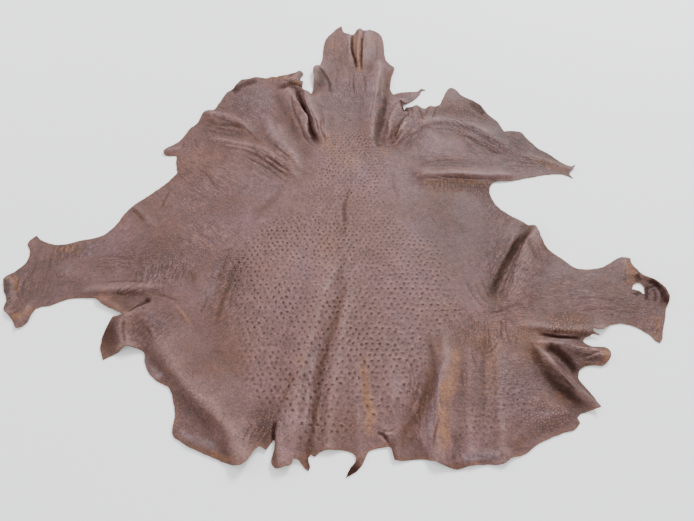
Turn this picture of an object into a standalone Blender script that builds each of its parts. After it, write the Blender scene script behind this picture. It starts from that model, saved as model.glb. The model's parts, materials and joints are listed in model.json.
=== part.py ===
# A whole tanned ostrich hide, grain side up, lying open on a flat surface.
# One cut piece of leather: neck at +Y, tail at -Y, a wing and a leg flap on each side.
# The outline and the folds are charted in centimetres on the flat surface: x to the right of the spine,
# y towards the neck from the line that joins the two legs. The model itself is in metres.

import math
from collections import namedtuple

import bmesh
import bpy
import numpy as np
from mathutils import Vector
from mathutils.geometry import delaunay_2d_cdt, interpolate_bezier

# Driving dimensions, in metres
CM = 0.01
LEATHER_THICKNESS = 0.002
EDGE_STEP = 0.015  # longest straight run along a round stretch of the cut edge
EDGE_SHORTEST = 0.004  # shortest one
FOLD_SECTION_STEP = 0.022  # longest distance between the sections along a fold
POINT_SPACING = 0.0042  # least distance between two points of the folds
FOOT_SPACING = 0.014  # the same where a fold's flank ends
FIELD_SPACING = 0.040  # spacing where the leather has no fold
FIELD_CLEARANCE = 0.65  # share of that spacing kept clear of other points
MERGE_DISTANCE = 1e-7  # points closer than this are one point
PRESSED_FLAT = 0.0015  # the leather's own weight presses a lower rise flat
CONTACT_BLEND = 0.004  # height over which a rise eases off the surface
CROSSING_SHARE = 0.25  # part of the lower fold that is added where two folds cross
SWELL_CALM_RISE = 0.03  # fold height that takes half of a swell away
RISE_WAVES = ((0.12, 0.13), (0.05, 0.061))  # share of a fold's rise, and the length of one wave

HIDE_COLOUR = (0.27, 0.18, 0.155, 1.0)
HIDE_ROUGHNESS = 0.55

# The cut edge, walked from the tip of the neck down the left side and up the right side.
# Columns: x, y, turn. A round point lies on a smooth curve, and a sharp one is a corner.
EdgePoint = namedtuple("EdgePoint", "x y turn")
ROUND, SHARP = "round", "sharp"

NECK_LEFT_SIDE = (
    (-1.9, 95.3, SHARP),
    (-3.5, 93.5, ROUND),
    (-5.2, 90.9, ROUND),
    (-6.9, 87.6, ROUND),
    (-7.6, 82.5, ROUND),
    (-7.8, 76.0, ROUND),
    (-8.4, 72.8, SHARP),
    (-9.5, 72.4, ROUND),
    (-10.4, 70.6, ROUND),
    (-10.5, 67.0, ROUND),
    (-10.2, 61.8, ROUND),
    (-10.8, 59.6, SHARP),
)
LEFT_GATHER = (
    (-13.3, 62.8, ROUND),
    (-13.3, 64.9, ROUND),
    (-14.3, 66.3, ROUND),
    (-14.1, 67.9, ROUND),
    (-13.5, 69.5, ROUND),
    (-15.0, 70.8, ROUND),
    (-15.9, 70.1, ROUND),
    (-17.2, 69.7, ROUND),
    (-18.4, 68.8, ROUND),
    (-21.0, 68.5, SHARP),
    (-21.3, 68.1, SHARP),
    (-23.2, 68.2, ROUND),
)
LEFT_WING = (
    (-24.2, 67.6, ROUND),
    (-28.2, 67.8, ROUND),
    (-29.8, 66.8, ROUND),
    (-31.9, 66.6, ROUND),
    (-32.9, 64.8, ROUND),
    (-34.0, 62.1, ROUND),
    (-35.5, 61.1, ROUND),
    (-36.2, 59.4, ROUND),
    (-37.7, 54.8, ROUND),
    (-38.6, 52.3, ROUND),
    (-40.3, 51.5, ROUND),
    (-41.5, 50.1, ROUND),
    (-42.2, 47.3, ROUND),
    (-43.9, 45.0, ROUND),
    (-45.0, 42.0, ROUND),
    (-46.2, 39.6, ROUND),
    (-48.8, 36.9, ROUND),
    (-49.5, 35.7, ROUND),
    (-48.7, 34.4, ROUND),
    (-47.2, 34.2, ROUND),
    (-45.9, 34.3, ROUND),
    (-45.5, 32.0, ROUND),
)
LEFT_FLANK = (
    (-44.5, 27.8, SHARP),
    (-46.1, 24.9, ROUND),
    (-48.8, 21.5, ROUND),
    (-52.0, 18.1, ROUND),
    (-53.8, 15.7, ROUND),
    (-55.1, 13.7, ROUND),
    (-56.3, 10.2, ROUND),
    (-59.0, 7.0, ROUND),
)
LEFT_LEG = (
    (-63.5, 5.7, ROUND),
    (-68.0, 4.4, ROUND),
    (-72.2, 5.4, ROUND),
    (-74.5, 7.1, SHARP),
    (-75.8, 5.0, ROUND),
    (-74.4, 2.2, ROUND),
    (-74.3, -0.5, ROUND),
    (-75.8, -3.0, ROUND),
    (-77.5, -5.6, SHARP),
    (-76.8, -7.9, ROUND),
    (-75.2, -10.9, ROUND),
    (-74.9, -13.1, ROUND),
    (-73.2, -14.7, ROUND),
    (-70.5, -17.9, SHARP),
    (-68.9, -16.6, ROUND),
    (-68.1, -12.9, ROUND),
    (-65.4, -12.2, ROUND),
    (-62.0, -10.6, ROUND),
    (-57.0, -10.2, ROUND),
    (-55.7, -10.4, ROUND),
    (-53.4, -12.0, ROUND),
    (-50.2, -13.6, ROUND),
)
LEFT_LOBE = (
    (-48.2, -14.9, SHARP),
    (-50.0, -15.6, SHARP),
    (-51.5, -19.0, ROUND),
    (-51.4, -22.3, ROUND),
    (-50.3, -25.1, SHARP),
    (-48.2, -23.9, ROUND),
    (-46.3, -22.7, ROUND),
    (-44.2, -22.6, ROUND),
    (-42.1, -23.5, ROUND),
)
LOWER_LEFT = (
    (-41.5, -25.6, ROUND),
    (-40.1, -28.1, ROUND),
    (-38.2, -29.6, ROUND),
    (-35.6, -31.0, ROUND),
    (-34.3, -33.5, ROUND),
    (-33.3, -37.0, ROUND),
    (-33.2, -40.0, ROUND),
    (-32.2, -41.2, ROUND),
    (-26.5, -43.9, ROUND),
    (-20.2, -46.2, ROUND),
    (-18.5, -45.7, ROUND),
    (-17.3, -43.6, ROUND),
)
TAIL_LEFT_SIDE = (
    (-16.3, -42.4, SHARP),
    (-15.1, -43.3, ROUND),
    (-13.7, -41.1, ROUND),
    (-13.4, -43.0, ROUND),
    (-13.9, -45.6, ROUND),
    (-13.1, -46.6, ROUND),
    (-10.0, -46.2, SHARP),
    (-9.9, -44.7, ROUND),
    (-8.4, -45.7, ROUND),
    (-7.1, -47.0, ROUND),
    (-6.8, -46.3, ROUND),
    (-7.3, -44.6, ROUND),
    (-6.8, -44.0, ROUND),
    (-6.0, -44.4, SHARP),
    (-5.2, -43.6, ROUND),
    (-3.0, -43.3, ROUND),
    (-0.4, -43.4, ROUND),
)
TAIL_TIP = (
    (1.3, -44.1, ROUND),
    (1.8, -45.1, SHARP),
    (0.6, -46.4, ROUND),
    (-0.3, -48.1, SHARP),
    (1.8, -47.0, ROUND),
    (3.0, -45.3, ROUND),
    (4.0, -43.5, ROUND),
)
LOWER_RIGHT = (
    (7.8, -42.5, ROUND),
    (8.2, -42.4, SHARP),
    (8.5, -42.5, ROUND),
    (8.8, -44.9, ROUND),
    (11.0, -45.1, ROUND),
    (14.5, -44.9, ROUND),
    (17.1, -46.0, ROUND),
    (20.0, -46.7, ROUND),
    (23.3, -45.9, ROUND),
    (28.5, -45.8, ROUND),
    (30.4, -44.7, ROUND),
    (33.4, -43.8, ROUND),
    (35.4, -42.3, ROUND),
    (39.9, -40.4, ROUND),
    (43.2, -39.4, ROUND),
    (44.6, -38.1, ROUND),
    (44.3, -37.1, ROUND),
    (45.9, -36.1, ROUND),
    (49.0, -35.3, SHARP),
    (48.0, -32.6, ROUND),
)
RIGHT_TONGUE = (
    (46.3, -29.3, SHARP),
    (47.3, -27.2, ROUND),
    (50.0, -26.2, ROUND),
    (52.0, -26.3, ROUND),
    (53.8, -24.9, ROUND),
    (54.3, -23.1, ROUND),
    (53.8, -22.4, ROUND),
    (50.8, -22.1, ROUND),
    (49.4, -20.8, ROUND),
    (51.0, -19.6, ROUND),
    (51.8, -19.1, ROUND),
    (53.0, -19.5, SHARP),
    (51.9, -18.8, ROUND),
)
RIGHT_LEG = (
    (52.2, -17.8, SHARP),
    (54.0, -18.4, ROUND),
    (56.5, -16.9, ROUND),
    (60.0, -16.8, ROUND),
    (62.6, -18.1, ROUND),
    (64.3, -19.7, ROUND),
    (65.5, -21.2, ROUND),
    (66.7, -19.3, ROUND),
    (68.2, -16.2, ROUND),
    (69.7, -12.9, ROUND),
    (70.7, -10.7, ROUND),
    (70.5, -8.5, ROUND),
    (69.0, -6.0, ROUND),
    (66.4, -4.3, ROUND),
    (66.0, -2.3, ROUND),
    (65.5, -0.4, ROUND),
    (65.7, 0.3, SHARP),
    (63.7, 0.7, ROUND),
    (60.8, -0.8, ROUND),
    (57.6, -2.3, ROUND),
    (52.9, -2.4, ROUND),
    (50.2, 0.0, ROUND),
    (46.4, 4.3, ROUND),
    (45.7, 6.8, ROUND),
)
RIGHT_ARMPIT = (
    (45.2, 9.6, SHARP),
    (42.9, 10.7, ROUND),
    (40.0, 13.4, ROUND),
    (37.2, 16.8, ROUND),
    (36.2, 20.6, ROUND),
    (36.8, 23.3, ROUND),
    (38.0, 24.7, ROUND),
)
RIGHT_WING = (
    (42.3, 25.1, ROUND),
    (47.2, 26.2, ROUND),
    (52.6, 27.4, ROUND),
    (56.3, 27.4, ROUND),
    (57.8, 26.6, ROUND),
    (58.7, 25.9, SHARP),
    (58.1, 27.7, ROUND),
    (59.2, 28.9, ROUND),
    (60.3, 30.4, SHARP),
    (59.0, 29.8, ROUND),
    (57.3, 31.0, ROUND),
    (53.8, 35.3, ROUND),
    (52.2, 36.5, ROUND),
    (50.4, 39.4, ROUND),
    (49.1, 41.7, ROUND),
    (48.4, 43.4, ROUND),
    (46.3, 43.9, ROUND),
    (43.6, 43.6, SHARP),
    (42.6, 47.4, ROUND),
    (40.0, 51.5, ROUND),
    (38.4, 55.3, ROUND),
    (34.8, 58.5, ROUND),
    (33.4, 59.8, ROUND),
    (32.6, 61.6, ROUND),
    (31.0, 62.9, ROUND),
    (29.6, 61.5, ROUND),
    (28.0, 57.8, ROUND),
    (26.5, 54.6, ROUND),
)
RIGHT_GATHER = (
    (25.4, 54.4, ROUND),
    (24.0, 54.2, ROUND),
    (22.4, 53.2, ROUND),
    (20.9, 52.9, ROUND),
    (18.8, 53.5, ROUND),
    (17.2, 53.5, ROUND),
    (16.4, 52.4, SHARP),
    (15.7, 54.4, ROUND),
    (16.9, 55.3, ROUND),
    (19.2, 57.0, ROUND),
    (21.4, 59.7, ROUND),
    (22.3, 61.6, ROUND),
    (23.3, 61.9, SHARP),
    (22.0, 62.4, ROUND),
    (20.8, 61.1, ROUND),
    (16.2, 60.7, ROUND),
    (14.4, 60.1, ROUND),
)
NECK_RIGHT_SIDE = (
    (13.7, 59.6, SHARP),
    (12.8, 62.0, ROUND),
    (13.4, 67.0, ROUND),
    (14.5, 71.8, ROUND),
    (13.6, 73.7, ROUND),
    (12.4, 75.8, ROUND),
    (11.8, 79.0, ROUND),
    (11.7, 86.0, ROUND),
    (10.7, 90.5, ROUND),
    (9.0, 92.1, ROUND),
    (7.1, 92.5, SHARP),
    (6.3, 91.5, ROUND),
    (5.2, 92.2, ROUND),
    (4.4, 93.1, ROUND),
    (3.2, 92.0, ROUND),
    (2.3, 90.2, ROUND),
    (1.2, 89.6, ROUND),
    (-0.9, 91.0, ROUND),
)
CUT_EDGE = (
    NECK_LEFT_SIDE + LEFT_GATHER + LEFT_WING + LEFT_FLANK + LEFT_LEG + LEFT_LOBE + LOWER_LEFT
    + TAIL_LEFT_SIDE + TAIL_TIP + LOWER_RIGHT + RIGHT_TONGUE + RIGHT_LEG + RIGHT_ARMPIT
    + RIGHT_WING + RIGHT_GATHER + NECK_RIGHT_SIDE
)

# Holes torn through the leather, with the same columns
LEG_HOLE = (
    (63.6, -8.0, SHARP),
    (64.4, -6.7, ROUND),
    (65.9, -6.2, ROUND),
    (66.5, -7.2, ROUND),
    (66.3, -8.9, ROUND),
    (65.8, -9.6, ROUND),
    (65.3, -8.5, ROUND),
)
NOTCH_HOLE = (
    (-45.1, -13.5, ROUND),
    (-44.9, -12.8, ROUND),
    (-44.3, -12.6, ROUND),
    (-44.4, -13.5, ROUND),
)
TONGUE_HOLE = (
    (43.6, -26.2, ROUND),
    (44.2, -25.8, ROUND),
    (44.9, -26.2, ROUND),
    (44.2, -26.6, ROUND),
)
HOLES = (LEG_HOLE, NOTCH_HOLE, TONGUE_HOLE)

# Raised folds. Each crest runs along a smooth path, and its flanks fall to nothing over the widths left
# and right of the way it runs. The rise grows from nothing over the length start and dies away over the
# length end; where one of them is 0 the fold runs out over the edge. All in centimetres.
Fold = namedtuple("Fold", "name path rise left right start end")
NECK_FOLDS = (
    ("slit left lip", ((0.8, 91.5), (0.5, 84.0), (1.2, 77.0), (2.6, 70.0)), 1.1, 1.0, 3.6, 0, 7),
    ("slit roll", ((4.2, 95.0), (3.6, 86.0), (3.2, 79.0), (3.7, 72.5)), 1.4, 1.0, 0.9, 0, 6),
    ("slit right lip", ((5.7, 94.0), (6.0, 86.0), (5.4, 78.0), (4.7, 71.0)), 1.2, 3.4, 0.9, 0, 7),
    ("neck flap edge", ((-9.8, 75.0), (-10.6, 70.0), (-10.4, 61.0)), 1.7, 5.0, 2.0, 0, 5),
    ("neck right rim", ((14.9, 73.5), (14.1, 67.5), (12.6, 61.0)), 1.5, 1.6, 1.9, 2, 3),
    ("neck right flank", ((9.4, 79.0), (9.8, 70.0), (8.4, 60.0), (7.4, 51.0), (7.0, 42.0), (7.6, 33.0)), 1.6, 2.3, 4.2, 7, 9),
    ("shoulder tube", ((16.4, 58.0), (14.3, 51.5), (12.4, 45.0), (10.2, 37.0)), 2.8, 1.5, 1.4, 3, 5),
    ("neck crease", ((-7.2, 54.0), (-6.1, 46.5), (-5.2, 38.5)), 1.0, 1.3, 0.9, 4, 4),
)
LEFT_WING_FOLDS = (
    ("pocket outer lip", ((-18.0, 63.5), (-15.6, 55.5), (-12.3, 48.0), (-9.6, 38.0)), 2.4, 1.4, 3.8, 3, 9),
    ("pocket inner lip", ((-12.9, 62.5), (-11.3, 55.0), (-9.0, 48.0), (-7.1, 38.5)), 2.7, 2.0, 1.2, 4, 7),
    ("gather across", ((-12.8, 64.0), (-16.8, 65.4), (-20.6, 63.4)), 1.7, 1.3, 1.5, 0, 3),
    ("gather upper", ((-13.6, 71.0), (-15.6, 68.0), (-17.4, 64.2)), 1.3, 1.1, 1.3, 0, 2),
    ("gather outer", ((-18.2, 70.4), (-19.0, 67.2), (-20.6, 63.8)), 1.0, 1.3, 1.7, 0, 3),
    ("top rim", ((-24.0, 66.2), (-30.0, 64.8), (-34.4, 59.5)), 1.0, 2.4, 3.6, 4, 4),
    ("upper ridge", ((-43.4, 51.8), (-37.0, 50.0), (-30.5, 46.6), (-25.0, 40.5)), 1.6, 3.4, 2.3, 0, 7),
    ("swell", ((-42.0, 42.0), (-32.0, 39.0), (-24.0, 36.6), (-17.8, 31.4), (-11.0, 23.5)), 1.2, 3.2, 2.2, 8, 8),
    ("root", ((-21.0, 50.5), (-18.4, 42.0), (-15.2, 35.0), (-11.2, 26.5)), 1.3, 2.8, 3.8, 7, 7),
    ("tip", ((-50.8, 35.8), (-47.0, 36.1), (-42.0, 37.6)), 1.2, 1.7, 1.6, 0, 4),
    ("flank crease", ((-55.6, 17.2), (-50.5, 13.8), (-45.4, 7.6)), 0.9, 2.8, 1.7, 0, 5),
)
RIGHT_WING_FOLDS = (
    ("root", ((21.2, 56.0), (17.9, 48.8), (15.0, 42.5), (11.4, 34.5)), 2.1, 3.0, 1.8, 0, 8),
    ("pleat", ((24.6, 55.5), (23.4, 51.5), (21.6, 46.5)), 1.1, 0.9, 1.3, 0, 4),
    ("arc", ((14.5, 37.0), (20.0, 44.4), (27.5, 47.0), (34.5, 44.4), (40.0, 39.8), (46.5, 33.8)), 1.9, 5.6, 2.4, 8, 8),
    ("lower border", ((16.6, 25.2), (21.0, 26.6), (27.0, 26.9), (33.0, 26.5), (40.0, 26.2), (47.0, 27.5)), 2.0, 4.6, 1.4, 3.5, 10),
    ("point", ((42.0, 36.0), (51.0, 32.6), (58.0, 29.4), (62.0, 28.8)), 1.0, 3.2, 2.6, 8, 0),
)
RIGHT_FLANK_FOLDS = (
    ("flank ridge", ((46.4, 10.6), (43.2, 5.0), (39.8, -1.5), (36.3, -8.0), (33.0, -15.5)), 2.2, 5.5, 1.9, 0, 8),
    ("flank companion", ((43.8, 12.4), (39.8, 6.5), (35.9, -1.0), (31.6, -10.0)), 1.2, 1.9, 6.5, 0, 8),
    ("leg underside", ((34.5, -17.0), (41.0, -17.8), (48.0, -18.5), (54.5, -18.9)), 1.6, 3.6, 1.1, 6, 0),
    ("tongue", ((36.5, -20.6), (42.0, -21.6), (48.5, -23.2), (55.0, -24.6)), 2.0, 1.4, 2.3, 5, 0),
    ("lower tongue", ((37.6, -20.6), (41.6, -26.0), (45.3, -31.2), (50.0, -36.8)), 2.1, 1.6, 1.7, 5, 0),
    ("leg strip", ((65.2, -3.3), (68.4, -5.1), (70.4, -8.3), (69.9, -12.2)), 2.1, 1.1, 1.8, 1, 2.5),
    ("leg end crease", ((65.2, 1.4), (63.6, -3.0), (62.6, -7.6)), 0.9, 0.9, 1.2, 0, 2.5),
)
TAIL_FOLDS = (
    ("right fold", ((20.4, -15.0), (19.9, -26.0), (18.6, -33.0), (16.9, -40.0), (16.0, -48.0)), 2.0, 4.4, 2.5, 11, 0),
    ("right swell", ((8.2, -20.0), (9.0, -31.0), (8.4, -39.0)), 0.8, 4.2, 4.2, 8, 6),
    ("orange streak", ((25.4, -16.0), (24.8, -27.0), (23.5, -36.0), (22.6, -48.0)), 0.9, 2.6, 2.8, 9, 0),
    ("outer streak", ((30.4, -13.0), (30.6, -26.0), (29.4, -36.0), (28.4, -48.0)), 1.1, 4.8, 2.4, 11, 0),
    ("spine left", ((-1.0, 4.0), (-5.4, -12.0), (-8.6, -26.0), (-9.8, -36.0), (-10.2, -48.0)), 1.5, 2.1, 5.4, 14, 0),
    ("spine right", ((1.6, 0.0), (-0.8, -14.0), (-2.6, -26.0), (-3.6, -36.0), (-3.9, -45.0)), 1.1, 4.4, 2.0, 12, 0),
    ("spine streak", ((1.4, -18.0), (1.8, -31.0), (2.6, -44.5)), 0.7, 1.6, 2.4, 10, 0),
    ("left tuck", ((-20.0, -48.0), (-18.4, -42.5), (-16.0, -36.6)), 1.0, 1.8, 1.1, 0, 4),
    ("middle tuck", ((-12.6, -48.0), (-12.7, -42.5), (-13.6, -36.6)), 1.4, 1.0, 2.4, 0, 4),
    ("right tuck", ((9.0, -44.5), (7.7, -40.2), (4.6, -37.6)), 1.0, 1.0, 1.9, 0, 4),
    ("front rim", ((17.5, -45.8), (24.0, -44.3), (31.0, -44.0)), 0.9, 2.0, 1.8, 3, 3),
    ("corner rim", ((33.0, -39.4), (37.5, -37.0), (43.5, -36.0)), 0.8, 1.8, 1.6, 3, 2),
)
LEFT_FLANK_FOLDS = (
    ("body edge", ((-44.0, -15.5), (-36.5, -25.0), (-29.2, -32.5), (-22.8, -39.0), (-18.4, -48.0)), 2.0, 7.8, 2.9, 7, 0),
    ("lower rim", ((-34.8, -36.5), (-31.0, -40.6), (-26.0, -42.9), (-21.0, -44.8)), 0.8, 2.4, 1.8, 3, 3),
    ("leg flap", ((-59.5, -8.9), (-53.0, -8.2), (-46.5, -8.2), (-38.0, -6.8)), 1.5, 3.6, 1.6, 3, 7),
    ("leg flap rim", ((-56.2, -10.4), (-52.0, -11.8), (-48.0, -14.6)), 1.2, 1.4, 1.7, 1, 0),
    ("notch lip", ((-51.0, -16.8), (-47.0, -14.1), (-42.6, -10.6)), 1.2, 0.9, 3.4, 0, 5),
    ("lobe crest", ((-50.0, -13.8), (-48.0, -18.2), (-44.9, -23.6)), 1.9, 3.4, 3.8, 3, 0),
    ("leg curl", ((-78.6, -4.1), (-75.3, -6.7), (-73.6, -10.4), (-73.4, -15.2)), 1.2, 2.0, 1.8, 0, 0),
    ("leg tip fold", ((-69.6, -10.0), (-69.6, -14.5), (-70.7, -19.0)), 1.1, 1.2, 2.0, 3, 0),
)
FOLDS = tuple(
    Fold(*row)
    for row in (
        NECK_FOLDS + LEFT_WING_FOLDS + RIGHT_WING_FOLDS + RIGHT_FLANK_FOLDS + TAIL_FOLDS + LEFT_FLANK_FOLDS
    )
)

# Broad low swells. Columns: name, centre x and y, half widths across and along, rise, in centimetres.
Swell = namedtuple("Swell", "name x y across along rise")
SWELLS = tuple(
    Swell(*row)
    for row in (
        ("crown left", -14.0, -6.0, 15.0, 25.0, 1.0),
        ("crown right", 13.0, 0.0, 13.0, 24.0, 0.9),
        ("shoulders", 0.0, 30.0, 12.0, 12.0, 0.7),
        ("neck", 3.0, 66.0, 9.0, 16.0, 0.9),
        ("right wing pad", 24.0, 36.0, 12.0, 8.0, 1.0),
        ("right body", 28.0, 13.0, 9.0, 11.0, 0.8),
        ("right leg", 52.0, -9.0, 11.0, 7.0, 0.8),
        ("left wing", -31.0, 28.0, 13.0, 12.0, 0.9),
        ("left wing head", -27.0, 56.0, 9.0, 8.0, 0.8),
        ("left body", -34.0, -10.0, 9.0, 13.0, 0.9),
        ("left leg", -62.0, -3.0, 10.0, 6.0, 0.9),
        ("right haunch", 36.0, -30.0, 7.0, 7.0, 0.6),
    )
)


def edge_loop(rows):
    """The points of a closed edge, in metres, with a Bezier curve through each round stretch."""
    knots = [EdgePoint(*row) for row in rows]
    places = [Vector((k.x * CM, k.y * CM)) for k in knots]
    count = len(knots)
    points = []
    for i in range(count):
        here, there = places[i], places[(i + 1) % count]
        reach = (there - here).length / 3.0
        handles = []
        for knot, sign in ((i, 1.0), ((i + 1) % count, -1.0)):
            if knots[knot].turn == SHARP:
                along = (there - here) * sign
            else:
                along = (places[(knot + 1) % count] - places[knot - 1]) * sign
            handles.append(places[knot] + along.normalized() * reach)
        parts = max(1, math.ceil((there - here).length / EDGE_STEP))
        curve = interpolate_bezier(here, handles[0], handles[1], there, parts + 1)
        points += [Vector((p.x, p.y)) for p in curve[:-1]]
    return points


def without_short_runs(points):
    kept = []
    for point in points:
        if not kept or (point - kept[-1]).length > EDGE_SHORTEST:
            kept.append(point)
    return kept


def eased(share):
    share = np.clip(share, 0.0, 1.0)
    return share * share * (3.0 - 2.0 * share)


def smooth_path(fold):
    """A fold's crest as points in metres, with a Bezier curve between each two of its charted points."""
    places = [Vector(p) * CM for p in fold.path]
    last = len(places) - 1
    points = []
    for i in range(last):
        here, there = places[i], places[i + 1]
        leave = there - places[max(i - 1, 0)]
        arrive = places[min(i + 2, last)] - here
        reach = (there - here).length / 3.0
        handles = here + leave.normalized() * reach, there - arrive.normalized() * reach
        parts = math.ceil((there - here).length / FOLD_SECTION_STEP)
        points += interpolate_bezier(here, *handles, there, parts + 1)[:-1]
    return points + [places[-1]]


def waver(along, phase):
    """How much of its charted rise a fold has, along its length."""
    share = 1.0
    for strength, length in RISE_WAVES:
        share = share + strength * np.sin(2.0 * math.pi * along / length + phase / length * CM)
    return share


def fold_height(fold, x, y):
    """What one fold adds to the height at x and y, which are arrays in metres."""
    path = np.array([tuple(p) for p in smooth_path(fold)])
    steps = path[1:] - path[:-1]
    lengths = np.hypot(steps[:, 0], steps[:, 1])
    starts = np.concatenate([[0.0], np.cumsum(lengths)])
    nearest = np.full(x.shape, np.inf)
    across = np.zeros(x.shape)
    along = np.zeros(x.shape)
    for (px, py), (sx, sy), length, start in zip(path[:-1], steps, lengths, starts):
        share = ((x - px) * sx + (y - py) * sy) / length**2
        held = np.clip(share, 0.0, 1.0)
        gap = np.hypot(x - px - held * sx, y - py - held * sy)
        side = np.sign(sx * (y - py) - sy * (x - px))
        closer = gap < nearest
        nearest = np.where(closer, gap, nearest)
        across = np.where(closer, gap * side, across)
        along = np.where(closer, start + held * length, along)
    width = np.where(across > 0.0, fold.left, fold.right) * CM
    profile = 0.5 + 0.5 * np.cos(math.pi * np.clip(np.abs(across) / width, 0.0, 1.0))
    grows = eased(along / (fold.start * CM)) if fold.start else 1.0
    dies = eased((starts[-1] - along) / (fold.end * CM)) if fold.end else 1.0
    return fold.rise * CM * waver(along, fold.path[0][0]) * profile * grows * dies


def swell_height(swell, x, y):
    """What one broad swell adds to the height."""
    out = np.hypot((x / CM - swell.x) / swell.across, (y / CM - swell.y) / swell.along)
    return swell.rise * CM * (0.5 + 0.5 * np.cos(math.pi * np.clip(out, 0.0, 1.0)))


def rise_of(x, y):
    """The height of the leather's underside over the surface. Where little lifts it, it is exactly 0."""
    swells = sum(swell_height(swell, x, y) for swell in SWELLS)
    folds = np.zeros(x.shape)
    for fold in FOLDS:
        height = fold_height(fold, x, y)
        folds = np.maximum(folds, height) + CROSSING_SHARE * np.minimum(folds, height)
    swells *= 1.0 - 0.5 * eased(folds / SWELL_CALM_RISE)
    lift = np.maximum(swells + folds - PRESSED_FLAT, 0.0)
    return np.where(
        lift < CONTACT_BLEND,
        lift**2 / (2.0 * CONTACT_BLEND),
        lift - CONTACT_BLEND / 2.0,
    )


def inside(points, x, y):
    """Whether a point lies inside a closed loop of points."""
    within = False
    for a, b in zip(points, points[1:] + points[:1]):
        if (a.y > y) != (b.y > y) and x < (b.x - a.x) * (y - a.y) / (b.y - a.y) + a.x:
            within = not within
    return within


def in_leather(point, outer, holes):
    return inside(outer, point.x, point.y) and not any(inside(hole, point.x, point.y) for hole in holes)


def fold_lines():
    """Lines along the crest, then halfway down and then at the foot of every fold, with their spacing."""
    for share, spacing in ((0.0, POINT_SPACING), (0.5, POINT_SPACING), (1.0, FOOT_SPACING)):
        for fold in FOLDS:
            path = smooth_path(fold)
            runs = [there - here for here, there in zip(path, path[1:])]
            asides = [Vector((-run.y, run.x)).normalized() for run in runs]
            asides.append(asides[-1])
            for width in (fold.left, -fold.right) if share else (0.0,):
                yield [p + aside * width * share * CM for p, aside in zip(path, asides)], spacing


def field_points(low, high):
    """A staggered field of points between two corners."""
    row_step = FIELD_SPACING * math.sqrt(3.0) / 2.0
    rows = math.ceil((high.y - low.y) / row_step)
    columns = math.ceil((high.x - low.x) / FIELD_SPACING)
    for row in range(rows):
        for column in range(columns):
            stagger = 0.5 * (row % 2)
            yield Vector((low.x + (column + stagger) * FIELD_SPACING, low.y + row * row_step))


class Spread:
    """Takes in points that keep their distance from every point taken before."""

    def __init__(self, cell):
        self.cell = cell
        self.cells = {}
        self.points = []

    def key(self, point):
        return math.floor(point.x / self.cell), math.floor(point.y / self.cell)

    def clear(self, point, distance):
        reach = math.ceil(distance / self.cell)
        column, row = self.key(point)
        for i in range(column - reach, column + reach + 1):
            for j in range(row - reach, row + reach + 1):
                for other in self.cells.get((i, j), ()):
                    if (other - point).length < distance:
                        return False
        return True

    def take(self, point):
        self.cells.setdefault(self.key(point), []).append(point)
        self.points.append(point)


def leather_mesh(outer, holes):
    """The cut piece as a flat triangle mesh, with its points where the folds need them."""
    spread = Spread(POINT_SPACING)
    loops = [outer, *holes]
    edges = []
    for loop in loops:
        first = len(spread.points)
        for point in loop:
            spread.take(point)
        edges += [(first + i, first + (i + 1) % len(loop)) for i in range(len(loop))]
    low = Vector((min(p.x for p in outer), min(p.y for p in outer)))
    high = Vector((max(p.x for p in outer), max(p.y for p in outer)))
    for line, spacing in fold_lines():
        before = None
        for point in line:
            fits = spread.clear(point, spacing) and in_leather(point, outer, holes)
            if fits:
                spread.take(point)
                if before is not None and spacing == POINT_SPACING:
                    edges.append((before, len(spread.points) - 1))
            before = len(spread.points) - 1 if fits else None
    for point in field_points(low, high):
        if spread.clear(point, FIELD_SPACING * FIELD_CLEARANCE) and in_leather(point, outer, holes):
            spread.take(point)
    found = delaunay_2d_cdt(spread.points, edges, [], 0, MERGE_DISTANCE)
    points, triangles = found[0], found[2]
    kept = []
    for triangle in triangles:
        middle = sum((points[i] for i in triangle), Vector((0.0, 0.0))) / 3.0
        if in_leather(middle, outer, holes):
            kept.append(triangle)
    return points, kept


def hide_material():
    material = bpy.data.materials.new("ostrich leather")
    material.use_nodes = True
    shader = material.node_tree.nodes["Principled BSDF"]
    shader.inputs["Base Color"].default_value = HIDE_COLOUR
    shader.inputs["Roughness"].default_value = HIDE_ROUGHNESS
    shader.inputs["Metallic"].default_value = 0.0
    return material


def build_hide(collection):
    outer = without_short_runs(edge_loop(CUT_EDGE))
    holes = [without_short_runs(edge_loop(rows)) for rows in HOLES]
    points, triangles = leather_mesh(outer, holes)
    x = np.array([p.x for p in points])
    y = np.array([p.y for p in points])
    z = rise_of(x, y)
    centre_x = (min(p.x for p in outer) + max(p.x for p in outer)) / 2.0
    centre_y = (min(p.y for p in outer) + max(p.y for p in outer)) / 2.0

    mesh = bpy.data.meshes.new("hide")
    shape = bmesh.new()
    corners = [shape.verts.new(place) for place in zip(x - centre_x, y - centre_y, z)]
    for triangle in triangles:
        shape.faces.new([corners[i] for i in triangle])
    loose = [corner for corner in shape.verts if not corner.link_faces]
    bmesh.ops.delete(shape, geom=loose, context="VERTS")
    bmesh.ops.recalc_face_normals(shape, faces=shape.faces)
    if sum(face.normal.z for face in shape.faces) < 0.0:
        bmesh.ops.reverse_faces(shape, faces=shape.faces)
    shape.to_mesh(mesh)
    shape.free()
    mesh.shade_smooth()
    mesh.materials.append(hide_material())

    hide = bpy.data.objects.new("hide", mesh)
    collection.objects.link(hide)
    thickness = hide.modifiers.new("leather thickness", "SOLIDIFY")
    thickness.thickness = LEATHER_THICKNESS
    thickness.offset = 1.0
    thickness.use_rim = True
    return hide


def main():
    for old in list(bpy.data.objects):
        bpy.data.objects.remove(old)
    collection = bpy.data.collections.new("ostrich hide")
    bpy.context.scene.collection.children.link(collection)
    build_hide(collection)


main()
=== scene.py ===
import json
import math
import random

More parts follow.
